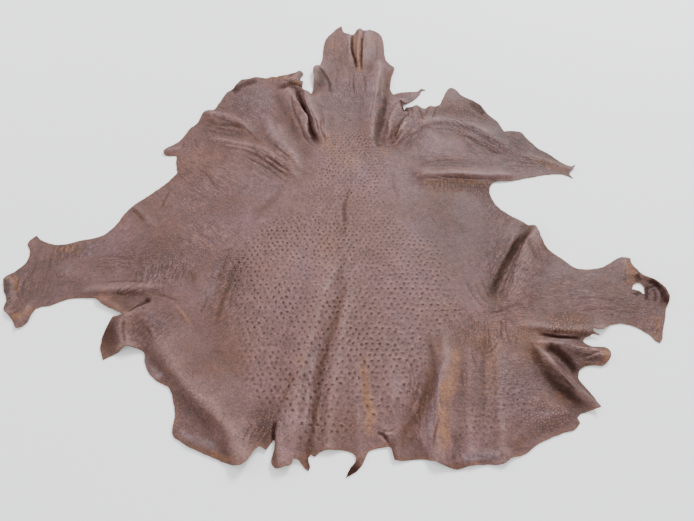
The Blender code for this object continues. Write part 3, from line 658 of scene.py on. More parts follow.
        (((26.7, -5.5), (28.0, -9.9), (29.8, -12.9)), 0.4, 0.8),
        (((28.6, -5.5), (29.5, -9.5), (30.6, -12.1)), 0.4, 0.8),
        (((30.2, -4.6), (30.9, -8.6), (31.6, -11.2)), 0.4, 0.8),
        (((44.4, 8.8), (41.5, 5.9), (38.4, 1.7), (35.6, -2.7), (33.4, -6.6), (31.5, -9.7)), 0.9, 2.2),
        (((40.0, 0.4), (37.4, -3.8), (34.6, -8.8)), 0.5, -1.2),
        (((37.2, -3.4), (35.2, -7.0), (33.2, -10.6)), 0.38, 1.0),
        (((38.6, -3.6), (36.6, -7.6), (34.4, -11.4)), 0.38, 0.8),
        (((43.0, 5.0), (43.2, 1.8), (43.8, -0.8)), 0.6, 1.2),
        (((44.6, 4.0), (44.8, 1.2), (45.2, -1.4)), 0.45, 1.0),
        (((41.1, -19.3), (44.3, -20.1), (47.5, -20.2), (49.4, -20.4)), 0.5, 2.6),
        (((41.7, -20.8), (45.2, -22.3), (48.4, -23.3), (53.7, -22.5)), 0.7, -1.6),
        (((38.0, -22.1), (39.0, -25.8), (40.7, -29.2), (43.3, -32.5), (46.1, -35.2)), 0.9, 2.2),
        (((39.7, -22.0), (41.4, -24.8), (43.6, -29.4), (46.2, -33.2), (48.5, -35.3)), 0.8, -1.8),
        (((41.4, -22.1), (43.8, -24.4), (45.5, -26.4), (46.2, -28.3)), 0.8, 2.2),
        (((47.7, -24.6), (50.1, -24.2), (52.6, -23.6)), 0.35, 1.0),
        (((47.9, -25.8), (50.0, -25.2), (52.0, -24.7)), 0.35, 1.0),
        (((46.4, -23.6), (49.0, -23.8), (51.6, -23.0)), 0.35, 0.8),
        (((29.4, -18.2), (28.2, -24.4), (27.4, -27.7), (26.8, -33.0), (25.8, -37.9)), 0.7, 1.1),
        (((21.2, -45.0), (22.8, -45.2), (25.7, -44.9)), 0.4, -1.2),
        (((64.1, -1.8), (63.0, -4.8), (62.6, -6.9)), 0.5, 1.2),
        (((65.0, -2.0), (66.0, -4.0), (65.6, -5.4)), 0.5, 1.6),
        (((67.2, -8.0), (68.0, -9.6), (67.4, -11.4)), 0.5, 1.2),
        (((50.0, -14.0), (56.0, -13.0), (61.0, -14.6)), 0.5, 0.8),
        (((48.0, -11.0), (54.0, -10.4), (60.0, -11.4)), 0.45, 0.6),
    ),
    "neck": (
        (((2.0, 88.7), (1.6, 81.5), (2.5, 76.0), (3.0, 71.8)), 0.5, 2.2),
        (((4.6, 88.7), (4.5, 82.2), (4.2, 76.8), (4.3, 72.0)), 0.45, 1.9),
        (((5.8, 91.0), (5.4, 83.4), (5.1, 77.3), (4.9, 71.9)), 0.45, -2.0),
        (((3.2, 91.0), (3.1, 84.0), (3.3, 77.3), (3.6, 72.4)), 0.5, -1.0),
        (((1.0, 89.5), (0.6, 82.0), (1.3, 76.0)), 0.5, -1.4),
        (((1.9, 68.5), (1.9, 63.0), (2.1, 59.3)), 0.5, 1.3),
        (((4.6, 70.0), (5.4, 64.0), (5.0, 58.0)), 0.6, 0.9),
        (((-4.6, 88.0), (-4.2, 85.0), (-4.6, 80.0)), 0.6, 0.8),
        (((9.0, 88.0), (9.4, 82.0), (8.8, 76.0)), 0.6, 0.9),
        (((-3.6, 75.0), (-3.0, 69.0), (-3.6, 63.0)), 0.7, 0.8),
        (((12.4, 71.0), (11.6, 64.4), (11.3, 60.0), (10.7, 53.5), (10.0, 47.6), (8.9, 43.0), (8.1, 38.5)),
          0.8, 1.1),
        (((9.5, 53.6), (8.4, 47.9), (7.3, 41.7)), 0.5, 1.2),
        (((8.0, 60.0), (7.4, 54.0), (6.2, 48.0)), 0.5, 0.9),
        (((10.4, 68.0), (9.8, 62.0), (9.0, 57.0)), 0.5, 1.0),
    ),
    "right wing": (
        (((14.3, 50.6), (13.1, 46.0), (11.5, 40.8), (10.6, 38.5)), 0.5, -1.8),
        (((18.8, 49.8), (16.8, 48.2), (14.8, 45.3), (13.0, 41.4), (11.8, 39.1)), 0.8, 2.2),
        (((11.4, 37.1), (13.5, 38.5), (15.9, 41.3), (17.5, 44.2)), 0.5, -2.0),
        (((12.4, 38.4), (14.0, 40.1), (15.8, 42.8)), 0.45, 1.8),
        (((20.8, 52.4), (21.1, 49.8), (21.3, 46.9)), 0.42, 1.5),
        (((25.8, 54.3), (24.8, 50.6), (23.4, 46.6)), 0.42, 1.6),
        (((18.1, 53.0), (18.8, 50.0), (18.4, 47.4)), 0.42, 1.3),
        (((30.4, 42.3), (33.4, 40.9), (36.2, 38.0), (38.6, 35.9), (40.7, 35.1), (42.4, 34.2)), 0.6, 1.2),
        (((23.3, 44.0), (27.0, 44.0), (30.6, 43.4), (34.9, 41.3)), 0.45, 0.4),
        (((38.0, 55.0), (39.0, 52.4), (38.3, 50.0)), 0.5, 1.1),
        (((29.0, 58.0), (30.6, 54.4), (31.4, 50.0)), 0.6, 0.8),
        (((16.0, 29.5), (24.0, 30.3), (34.0, 29.4)), 0.4, 0.7),
        (((18.0, 28.0), (27.0, 28.5), (36.0, 27.6)), 0.4, 0.7),
        (((20.0, 31.5), (28.0, 32.5), (36.0, 31.4)), 0.4, 0.6),
        (((12.0, 27.6), (18.0, 27.2), (24.0, 27.4)), 0.4, 0.8),
        (((37.6, 35.1), (38.0, 32.0), (38.1, 29.9)), 0.35, 1.0),
        (((40.0, 33.0), (46.0, 31.6), (52.0, 30.4)), 0.6, 0.8),
        (((18.4, 25.9), (22.3, 26.1), (25.8, 25.4), (32.5, 24.8), (36.9, 24.8)), 0.45, -1.2),
        (((18.2, 25.0), (19.6, 24.3), (25.6, 24.0), (32.4, 23.5), (37.3, 23.4)), 0.45, 0.7),
        (((12.2, 28.9), (11.9, 23.0), (13.3, 18.4)), 0.6, 0.7),
    ),
}
puckers = (  # from, to, how many, length in cm, depth in mm
    ((20.0, 23.7), (36.5, 22.9), 22, 2.2, 0.8),
    ((43.7, -18.4), (50.6, -19.0), 12, 1.9, 1.3),
    ((30.4, 43.0), (40.7, 35.8), 13, 1.8, 0.9),
    ((33.0, -41.2), (43.5, -37.4), 12, 1.8, 1.0),
    ((-27.0, 66.0), (-19.5, 67.2), 9, 2.2, 0.8),
    ((-76.0, -9.0), (-72.0, -14.5), 7, 1.8, 0.8),
    ((18.0, -45.0), (30.0, -44.4), 10, 1.5, 0.7),
    ((-51.6, -9.0), (-46.6, -8.2), 8, 1.9, 0.9),
    ((-49.4, -2.6), (-37.0, -3.8), 20, 4.4, 0.6),
    ((-68.4, 3.0), (-62.4, 2.4), 10, 3.0, 0.6),
    ((-45.2, 27.4), (-47.6, 23.4), 5, 1.8, 0.6),
    ((-75.0, 0.4), (-63.0, 1.4), 14, 4.0, 0.55),
    ((-70.6, -7.4), (-64.6, -7.0), 8, 5.0, 0.5),
)


def pleatRows():
    rows = [row for group in creases.values() for row in group]
    for start, end, count, length, depth in puckers:
        a, b = Vector(start), Vector(end)
        side = Vector((a.y - b.y, b.x - a.x)).normalized()
        for k in range(count):
            middle = a.lerp(b, (k + random.uniform(0.25, 0.75)) / count)
            half = side * length * random.uniform(0.35, 0.6)
            bend = Vector((random.uniform(-0.25, 0.25), random.uniform(-0.25, 0.25)))
            width = min(0.42, (b - a).length / count * 0.45)
            path = (middle - half, middle + bend, middle + half)
            rows.append((path, width, depth * random.uniform(0.6, 1.15)))
    return rows


def addPleats(scatter, rows, settings):
    # rows of points along the narrow creases
    for path, halfWidth, _ in rows:
        if halfWidth < settings["narrowCrease"]:
            points = curvePoints(path, 0.42)
            along = np.gradient(points, axis=0)
            left = np.stack((-along[:, 1], along[:, 0]), axis=1)
            left /= np.linalg.norm(left, axis=1)[:, None]
            for side in (0.0, 0.55, -0.55, 1.1, -1.1):
                for px, py in points + left * halfWidth * side:
                    x, y = chartX + px * cm, chartY + py * cm
                    if scatter.isInside(x, y):
                        scatter.add(x, y, settings["pleatGap"])


# lips that lean over: path, half width, lean to the left of the path, all in cm
leans = {
    "pocket outer": (((-15.6, 57.5), (-13.6, 51.0), (-10.6, 42.0)), 2.0, 1.3),
    "pocket inner": (((-12.0, 59.5), (-10.2, 52.0), (-8.4, 45.0)), 1.8, -0.9),
    "shoulder tube": (((15.6, 55.0), (13.4, 48.5), (11.2, 40.5)), 1.7, -1.0),
    "wing root": (((20.0, 53.0), (17.0, 46.5), (13.4, 39.5)), 1.9, -0.9),
    "slit right lip": (((5.7, 92.0), (6.0, 86.0), (5.4, 78.0)), 1.3, -0.7),
    "slit left lip": (((0.8, 89.0), (0.5, 84.0), (1.2, 77.0)), 1.3, 0.6),
    "wing border": (((19.0, 26.2), (27.0, 26.9), (33.0, 26.5), (40.0, 26.2)), 2.2, -1.0),
    "flank ridge": (((44.8, 8.0), (43.2, 5.0), (39.8, -1.5), (36.3, -8.0)), 2.4, -1.1),
    "leg underside": (((38.0, -17.6), (46.0, -18.3), (53.0, -18.8)), 1.6, -1.0),
    "lower tongue": (((39.6, -23.4), (43.4, -28.6), (47.6, -34.0)), 2.0, -1.0),
    "tail right fold": (((19.9, -25.0), (18.6, -33.0), (17.2, -39.0)), 2.4, -1.1),
    "body edge": (((-40.0, -21.0), (-33.0, -29.0), (-26.0, -36.0), (-21.0, -42.0)), 3.0, -1.1),
    "leg flap": (((-57.0, -8.7), (-51.0, -8.3), (-44.0, -8.1)), 1.8, -0.9),
    "leg strip": (((66.4, -3.8), (69.4, -6.2), (70.2, -10.0)), 1.4, -0.6),
    "ear rim": (((-10.3, 70.5), (-10.6, 66.0), (-10.4, 62.5)), 1.6, 0.7),
    "tail tuck": (((-12.7, -45.0), (-12.8, -41.5), (-13.4, -38.0)), 1.2, 0.6),
}
fullLean = 0.022  # a lip that rises by this much leans as far as charted


def leanOf(x, y, rise):
    # sideways shift in metres of points that stand rise metres over the floor
    shift = np.zeros((len(x), 2))
    for path, halfWidth, lean in leans.values():
        which, across, share, way = besidePath(path, halfWidth, x, y)
        if len(which):
            raised = np.clip(rise[which] / fullLean, 0.0, 1.15)
            strength = ridge(across, halfWidth) * taper(share, 0.35) * raised
            shift[which] += way * (strength * lean * cm)[:, None]
    return shift


# tints on the grain side, charted: path, half width in cm, strength
streaks = {
    "tan": (
        (((4.1, -23.0), (3.5, -28.7), (3.9, -32.9), (4.6, -36.9), (4.0, -42.0)), 1.3, 0.8),
        (((22.8, -20.8), (21.5, -28.1), (20.2, -31.4), (19.2, -34.7), (18.3, -38.4), (17.7, -45.4)),
          1.6, 0.68),
        (((30.7, -16.8), (29.9, -24.6), (28.8, -29.5), (27.7, -34.5)), 1.8, 0.35),
        (((8.6, 38.0), (9.8, 36.6), (10.6, 35.0)), 1.4, 0.6),
        (((-38.0, 8.1), (-34.5, 5.5), (-32.3, 3.5), (-30.5, 1.4)), 0.5, 0.3),
        (((-38.0, -12.0), (-36.3, -13.5), (-34.7, -15.4), (-33.3, -17.4)), 0.55, 0.28),
        (((52.0, -24.4), (53.8, -23.6), (53.6, -22.4)), 1.4, 0.7),
        (((-55.6, -8.9), (-52.4, -11.0), (-49.2, -13.2)), 1.6, 0.25),
        (((-32.2, -40.6), (-29.3, -42.2), (-26.5, -43.4), (-22.2, -44.8), (-19.3, -45.6)), 0.6, 0.38),
        (((49.2, 34.4), (52.8, 31.4), (58.0, 29.0)), 2.4, 0.4),
        (((18.4, 24.6), (25.5, 24.2), (32.3, 23.8), (37.2, 23.4)), 1.2, 0.3),
        (((3.6, 93.0), (3.4, 83.1), (3.4, 76.9), (3.8, 68.6)), 2.1, 0.7),
        (((-17.0, 64.6), (-15.6, 64.2), (-14.0, 63.8)), 1.2, 0.8),
        (((-76.4, -4.6), (-74.6, -6.4), (-73.6, -9.4)), 1.1, 0.65),
        (((-72.3, -13.8), (-71.3, -15.2), (-69.5, -14.2), (-68.2, -12.7)), 1.0, 0.6),
        (((-69.0, 3.6), (-65.1, 3.0), (-61.7, 2.7)), 1.8, 0.45),
        (((65.1, 0.4), (65.2, -3.8), (63.6, -7.4)), 1.8, 0.55),
        (((66.9, -14.2), (66.6, -18.2), (65.5, -21.0)), 1.4, 0.5),
        (((43.7, -18.2), (46.3, -18.3), (50.5, -18.9)), 0.9, 0.4),
        (((-26.0, 67.6), (-21.0, 68.0), (-18.0, 67.0), (-14.4, 67.4)), 1.3, 0.7),
        (((-45.0, 48.6), (-43.0, 50.4), (-41.0, 50.0)), 1.0, 0.6),
        (((66.4, -4.8), (68.3, -5.9), (69.4, -7.0)), 0.5, 0.4),
        (((67.5, -8.6), (67.6, -9.8), (67.2, -11.0)), 0.4, 0.5),
    ),
    # brown tone, mostly painted shade along valleys, under lips and on slopes facing away from the light
    "brownToneAndShade": (
        (((18.4, 24.4), (25.5, 24.0), (32.3, 23.5), (37.4, 23.0)), 1.5, 0.8),
        (((3.3, 93.0), (3.2, 84.0), (3.3, 76.0), (3.7, 68.6)), 2.0, 0.75),
        (((-55.0, 34.6), (-52.0, 36.4), (-49.6, 36.4)), 1.6, 0.6),
        (((0.6, 24.0), (-0.8, 16.2), (-0.6, 10.9), (-1.3, 5.0)), 1.1, 0.8),
        (((0.4, 34.0), (0.8, 28.6), (0.6, 22.9)), 0.8, 0.35),
        (((-0.7, 2.4), (-1.6, -2.9), (-2.3, -9.0)), 1.4, 0.4),
        (((-1.9, -9.2), (-2.9, -16.0), (-4.1, -20.3), (-5.0, -24.5), (-5.6, -28.9), (-6.2, -33.0)), 1.6, 1.0),
        (((-5.8, -31.0), (-6.5, -35.0), (-6.8, -38.0), (-6.9, -41.5), (-7.1, -44.8)), 1.3, 1.0),
        (((-10.5, -27.6), (-12.2, -32.4), (-13.3, -35.7), (-15.4, -37.9)), 1.0, 0.45),
        (((16.6, -16.8), (17.4, -23.8), (17.4, -28.3), (15.9, -32.4), (13.6, -37.0), (10.6, -41.0),
          (9.0, -45.0)), 2.1, 1.0),
        (((14.4, -28.8), (12.7, -34.3), (10.4, -39.4)), 1.5, 0.5),
        (((30.4, 42.3), (33.4, 40.9), (36.2, 38.0), (38.6, 35.9), (42.4, 34.2)), 1.1, 0.75),
        (((18.8, 50.2), (16.8, 48.2), (14.8, 45.3), (13.0, 41.4), (11.8, 38.8)), 1.3, 0.9),
        (((18.6, 52.6), (20.3, 51.0), (22.6, 50.0)), 1.6, 0.6),
        (((-8.6, 72.4), (-6.8, 67.9), (-5.4, 64.2), (-4.9, 58.6)), 1.3, 1.0),
        (((-10.6, 71.0), (-9.6, 66.0), (-9.0, 61.0)), 2.0, 0.75),
        (((-39.2, -24.1), (-37.1, -27.1), (-34.1, -30.0), (-29.8, -33.9), (-26.3, -37.0), (-22.7, -40.3),
          (-20.0, -43.4)), 1.3, 0.25),
        (((-24.1, 1.7), (-25.9, -2.8), (-26.2, -6.1), (-27.2, -10.3), (-27.7, -14.8), (-29.1, -19.0)),
          1.8, 0.42),
        (((-54.0, 16.0), (-50.6, 13.0), (-47.0, 9.0)), 2.4, 0.5),
        (((-40.9, 49.4), (-36.7, 46.8), (-30.9, 45.8), (-27.4, 42.8)), 1.7, 0.6),
        (((-29.9, 45.9), (-26.9, 42.7), (-23.8, 38.9)), 1.2, 0.5),
        (((-17.7, 51.6), (-15.2, 44.6), (-11.8, 37.6), (-8.8, 32.6)), 2.2, 0.6),
        (((-16.7, 24.4), (-18.5, 18.4), (-20.8, 15.7), (-24.5, 13.4)), 1.8, 0.5),
        (((29.4, -17.0), (28.2, -24.4), (27.4, -27.7), (26.8, -33.0), (25.8, -38.6)), 1.2, 0.4),
        (((12.2, 30.0), (11.9, 23.0), (13.5, 17.4)), 0.9, 0.35),
        (((43.2, 5.2), (43.3, 1.8), (43.9, -1.2)), 1.3, 0.65),
        (((29.4, -43.9), (32.3, -42.0), (35.2, -40.1), (38.7, -38.9), (42.1, -37.6), (44.2, -36.9)),
          1.3, 0.7),
        (((-16.4, -37.6), (-17.6, -41.0), (-18.0, -44.0)), 1.6, 0.4),
        (((-50.6, 21.0), (-52.2, 15.0), (-60.0, 7.0)), 1.2, 0.3),
        (((45.2, 10.0), (41.5, 5.9), (38.2, 1.5), (35.2, -2.9), (33.0, -6.8), (30.2, -13.2)), 1.9, 1.0),
        (((37.0, -20.4), (38.8, -25.8), (40.9, -29.6), (43.6, -33.0), (47.0, -36.6)), 2.5, 1.0),
        (((18.0, 25.2), (19.6, 24.5), (25.6, 24.3), (32.4, 23.9), (37.5, 23.9)), 1.0, 0.7),
        (((12.6, 73.4), (11.8, 64.4), (11.4, 60.0), (10.8, 53.5), (10.0, 47.6), (8.9, 43.0), (7.8, 36.0)),
          2.0, 0.8),
        (((1.8, 69.0), (2.0, 64.0), (2.1, 57.0)), 1.1, 0.6),
        (((-52.4, -9.9), (-47.4, -9.8), (-42.7, -10.4)), 1.0, 0.7),
        (((-51.0, -15.0), (-50.6, -18.8), (-49.4, -23.0)), 3.0, 1.0),
        (((32.0, 61.0), (34.0, 57.0), (37.0, 53.0)), 1.8, 0.4),
        (((17.6, 51.6), (20.6, 55.0), (24.6, 56.0)), 2.0, 0.6),
    ),
    # painted shadow in slits, pockets, deep valleys and under curled edges
    "paintedShadow": (
        (((-0.6, 18.0), (-0.9, 14.6), (-0.6, 10.9)), 0.6, 0.4),
        (((-3.2, -18.0), (-4.5, -24.5), (-5.5, -31.0), (-6.3, -37.0), (-6.9, -43.6)), 0.75, 0.45),
        (((-9.0, 72.4), (-7.0, 69.0), (-5.4, 64.6), (-5.0, 60.0)), 0.6, 0.5),
        (((1.9, 90.6), (1.5, 81.5), (2.4, 76.0), (3.0, 70.0)), 0.65, 0.85),
        (((4.9, 90.0), (4.7, 82.2), (4.4, 76.8), (4.4, 70.0)), 0.5, 0.7),
        (((44.9, 9.6), (41.5, 5.9), (38.4, 1.7), (35.6, -2.7), (33.4, -6.6), (31.0, -11.0)), 1.0, 0.7),
        (((37.8, -21.4), (39.0, -25.8), (40.7, -29.2), (43.3, -32.5), (46.4, -35.6)), 1.3, 0.6),
        (((41.0, -21.8), (43.8, -24.0), (45.5, -26.2), (46.4, -28.6)), 1.4, 0.9),
        (((40.0, -19.1), (44.3, -20.1), (47.5, -20.2), (49.6, -20.4)), 0.65, 1.0),
        (((-15.2, 64.0), (-13.6, 56.0), (-11.8, 50.0), (-10.4, 44.8), (-9.0, 41.0), (-7.0, 37.6)), 1.35, 1.0),
        (((11.3, 60.0), (10.7, 53.5), (9.6, 47.6), (8.4, 43.0), (7.4, 37.0)), 1.2, 0.6),
        (((7.2, 41.4), (8.3, 38.6), (9.4, 37.2)), 1.0, 0.6),
        (((15.2, 55.0), (16.2, 53.6), (16.8, 51.4)), 1.0, 0.95),
        (((-47.8, -14.6), (-46.3, -12.9), (-44.6, -11.6), (-43.3, -10.6)), 0.5, 0.5),
        (((-13.7, -37.6), (-13.9, -39.6), (-13.8, -42.0)), 0.6, 0.9),
        (((-6.9, -41.0), (-7.1, -43.6), (-6.9, -47.0)), 0.7, 0.55),
        (((5.4, -40.0), (7.0, -40.5), (8.0, -42.4)), 0.5, 0.6),
        (((8.6, -40.8), (8.5, -42.6), (8.9, -45.4)), 0.9, 0.6),
        (((67.3, -6.0), (69.1, -7.5), (70.0, -9.8), (70.3, -12.4)), 0.9, 0.9),
        (((65.4, -4.2), (65.8, -5.4), (65.2, -6.2)), 0.7, 0.8),
        (((63.2, -8.8), (64.4, -9.3), (65.6, -8.7)), 0.5, 0.8),
        (((67.3, -6.9), (66.9, -8.4), (66.3, -9.8), (65.7, -11.0)), 0.45, 0.75),
        (((68.2, -7.8), (68.2, -10.0), (67.6, -11.6)), 0.3, 0.6),
        (((67.0, -8.1), (68.4, -7.5), (69.4, -7.4)), 0.35, 0.65),
        (((36.4, 57.0), (37.8, 53.6), (39.4, 50.6)), 1.5, 0.6),
        (((-34.4, 60.6), (-31.2, 63.8), (-26.6, 66.8)), 1.7, 0.8),
    ),
    # painted bluish sky reflection and highlight on ridges and curled edges
    "paintedSheen": (
        (((-31.9, -40.1), (-28.7, -41.4), (-24.0, -42.8)), 1.1, 0.8),
        (((-41.9, -23.6), (-40.9, -26.4), (-38.6, -28.2), (-36.8, -29.4)), 1.1, 0.7),
        (((18.8, -25.0), (18.6, -29.2), (18.0, -33.3), (16.7, -36.9), (15.4, -39.7), (14.5, -43.0)),
          1.1, 0.55),
        (((20.8, -45.0), (23.2, -44.7), (25.7, -44.7), (28.4, -45.0)), 1.0, 0.9),
        (((-6.0, -18.0), (-7.5, -28.2), (-8.0, -35.1), (-8.6, -41.5)), 1.6, 0.35),
        (((21.3, 46.0), (26.0, 46.7), (30.6, 45.9), (34.9, 43.5), (40.0, 40.2)), 2.2, 0.6),
        (((-76.1, -6.0), (-75.8, -8.0), (-75.2, -10.4)), 1.1, 0.9),
        (((7.4, 66.0), (6.4, 56.0), (4.4, 47.0)), 2.6, 0.4),
        (((-44.0, -14.6), (-41.0, -16.0), (-38.6, -18.6)), 2.0, 0.5),
        (((-22.9, 50.4), (-21.4, 44.1), (-18.8, 39.2), (-15.8, 33.6)), 1.8, 0.5),
        (((-29.6, 0.4), (-30.0, -3.9), (-30.4, -7.8), (-31.4, -12.0)), 1.6, 0.5),
        (((37.0, -36.8), (38.4, -36.4), (39.8, -35.8)), 0.9, 0.8),
        (((41.7, -20.6), (45.2, -22.0), (48.4, -23.0)), 1.1, 0.4),
        (((16.6, 57.0), (18.6, 58.0), (21.6, 60.4)), 2.0, 0.5),
    ),
}
patches = {  # centre, half widths, strength
    # brown tone, and painted shade over hollows such as the ear flap and beside the pocket
    "brownToneAndShade": (
        (-34, -19, 11, 10, 0.45), (-28, -25, 8, 9, 0.35), (-46, 4, 9, 6, 0.55),
        (-34.9, -4.8, 2.6, 3.4, 0.6), (-46.1, -0.7, 2.6, 1.4, 0.55), (-41.8, -2.1, 2.2, 1.8, 0.5),
        (-29.3, 17.3, 6, 5, 0.5), (-26, -2, 4, 6, 0.3), (-10.8, 36.4, 2.8, 5, 0.95), (-8, 66.4, 2.2, 5, 1),
        (-18.8, 49.4, 3, 4.4, 0.6), (-24.6, 43, 2.4, 4.4, 0.5), (-71, -2.6, 6, 3, 0.45),
        (-62, -8, 9, 3, 0.35), (61, -14, 7, 4, 0.5), (68.4, -9.4, 1.8, 2.8, 0.8), (36, 17, 4, 4, 0.4),
        (35.6, 22.8, 3, 1.8, 0.8), (-16, -35, 3, 3, 0.35), (-1.4, -40, 5, 3.6, 0.55),
        (47.6, -32, 3.4, 4, 0.6), (50.9, -17.2, 1.6, 2.6, 0.7), (-42, -20.6, 2.6, 2, 0.55),
        (-43.6, 49.6, 1.8, 2, 0.6), (-50, 36.6, 3, 2, 0.35), (57, -3, 6, 5, 0.25), (46, 40, 5, 4, 0.35),
    ),
    "tan": (
        (-4.4, 39, 3.6, 4.6, 0.45), (0, 33, 5, 6, 0.3), (8, 86, 4, 5, 0.25), (-4, 84, 2.6, 6, 0.3),
        (-5, 2, 3, 8, 0.25), (-9.2, -25.4, 1.2, 1.4, 0.6), (38, -20, 5, 7, 0.25), (31, -19, 6, 6, 0.2),
        (48, -16, 7, 3, 0.3), (40, -34, 5, 3, 0.25), (-40, 34, 7, 5, 0.15), (-18, -4, 5, 7, 0.15),
        (25, 22, 7, 3, 0.2),
    ),
    # painted bluish sheen that lightens broad areas
    "paintedSheen": (
        (33, -31, 8, 8, 0.45), (44, -4, 7, 6, 0.25), (-22, 24, 7, 6, 0.4), (-27, 58, 8, 6, 0.45),
        (22, 36, 8, 6, 0.35), (16, 24, 5, 9, 0.2), (26, 8, 8, 10, 0.15), (12, -22, 6, 8, 0.3),
        (-12, -38, 3, 4, 0.4), (-59, 3, 6, 3, 0.45), (68, -9, 2.4, 3, 0.4), (-2, 56, 7, 11, 0.5),
        (-44, -4, 4, 4, 0.25),
    ),
    # painted shadow in holes, under curls and on folded tips
    "paintedShadow": (
        (-50.2, -18.8, 3, 4.8, 0.6), (-43.9, -10.9, 0.9, 0.8, 1), (-76, -8, 1, 2.4, 0.4),
        (0.9, -46.9, 2.2, 2, 1), (-30.4, 65.2, 2.4, 0.9, 0.4), (0.8, 48.4, 0.5, 0.5, 0.8),
        (-43.6, 49.9, 0.7, 0.9, 0.4), (-8, 66.8, 1.9, 4.8, 0.45), (-14.2, 60.4, 1.2, 1.4, 0.8),
        (-19, 63, 2, 1.1, 0.6),
    ),
    # a broader darker tone; over the ear flap it is painted shade
    "deep": (
        (32, 10, 20, 24, 0.75), (50, 40, 20, 18, 0.95), (57, -10, 20, 14, 0.5), (-62, -4, 22, 16, 0.5),
        (-8, 66.4, 2.2, 5, 0.5), (44, -30, 9, 9, 0.7), (-34, 52, 12, 12, 0.2), (30, -34, 14, 12, 0.25),
    ),
}
# where wrinkles run, and where the skin is scaly: centre, half widths, strength
wrinkles = {
    "upright": (
        (2, 66, 12, 24, 0.55), (10, 52, 5, 14, 0.8), (-43, -3, 10, 6, 1), (-71, -6, 8, 10, 0.45),
        (-65, 2.6, 6, 3, 1), (28, 23.4, 11, 2.4, 1), (14.6, -34, 5, 10, 0.8), (-5.5, -28, 3, 16, 0.45),
        (-15, -39.5, 5, 4, 0.6), (29, -19, 9, 7, 0.6), (-18, -16, 8, 14, 0.3),
    ),
    "level": (
        (-2, 52, 8, 8, 0.45), (2, 64, 9, 7, 0.2), (49, -9, 12, 6, 0.6), (61, -13, 8, 5, 0.5),
        (-52, -0.5, 8, 3.6, 0.8), (34, -29, 10, 9, 0.35), (28, 33, 14, 7, 0.45), (46, 31, 9, 4, 0.6),
        (34, -14, 7, 4, 0.6), (50, -24.6, 5, 3, 1), (8, 33, 5, 8, 0.4),
    ),
    "falling": (
        (-32, 50, 13, 12, 0.65), (-20, 32, 10, 8, 0.8), (-38, 25, 13, 12, 0.6), (-34, 7, 10, 7, 0.6),
        (33, 50, 14, 8, 0.8), (38, 38, 8, 6, 0.9), (44, -29, 5, 7, 0.8), (47, 37, 8, 6, 0.7),
    ),
    "rising": (
        (-27, -8, 6, 13, 0.65), (-42, -18, 8, 6, 0.65), (-48, -9, 5, 2.6, 1), (16, 45, 7, 9, 1),
        (37, -2, 8, 13, 0.8), (38, 14, 6, 8, 0.6), (-16, 47, 5, 10, 0.5), (64, -18, 5, 4, 0.6),
    ),
    "scaly": (
        (-71, -4, 9, 11, 0.3), (64, -10, 9, 12, 0.5), (32, 52, 12, 9, 0.9), (44, 40, 8, 6, 0.8),
        (35, 21, 5, 4, 1), (39, -37, 8, 4, 0.8), (34, -30, 9, 8, 0.35), (47, -16.6, 8, 3.4, 1),
        (-29, 57, 10, 8, 0.9), (0, 58, 9, 12, 0.55), (-46, 3, 8, 5, 0.7), (-42, -19, 6, 5, 0.6),
        (-31, -36, 7, 8, 0.5), (3, 38, 7, 7, 0.5), (-16, 64.6, 3, 2.4, 1), (53, 33, 6, 5, 0.7),
        (-38, 2, 12, 9, 0.7), (-26, -4, 6, 10, 0.8), (-34, 15, 12, 9, 0.5), (-40, 42, 10, 9, 0.5),
        (24, 14, 12, 8, 0.4), (30, -18, 10, 7, 0.5), (-4, 82, 9, 10, 0.4), (-16, -38, 5, 5, 0.7),
    ),
}


def tintMasks(x, y):
    tints = {kind: np.zeros(len(x)) for kind in (*patches, *wrinkles)}
    wander = noiseAt(x, y, 0.35, 4.0)
    fine = noiseAt(x, y, 1.3, 5.0)
    for kind, rows in streaks.items():
        for path, halfWidth, strength in rows:
            which, across, share, _ = besidePath(path, halfWidth * 1.5, x, y)
            across = across + (wander[which] * 0.35 + fine[which] * 0.22) * halfWidth
            amount = band(across, halfWidth) * taper(share, 0.16) * strength
            tints[kind][which] = np.maximum(tints[kind][which], amount)
    for kind, rows in (*patches.items(), *wrinkles.items()):
        for cx, cy, rx, ry, strength in rows:
            away = np.hypot((x - cx) / rx, (y - cy) / ry) + wander * 0.2 + fine * 0.12
            amount = (1.0 - eased(away - 0.25)) * strength
            tints[kind] = np.maximum(tints[kind], amount)
    return tints


# the hide
def blurred(grid, rounds):
    for axis in (0, 1):
        for _ in range(rounds):
            grid = 0.5 * grid + 0.25 * (np.roll(grid, 1, axis) + np.roll(grid, -1, axis))
    return grid


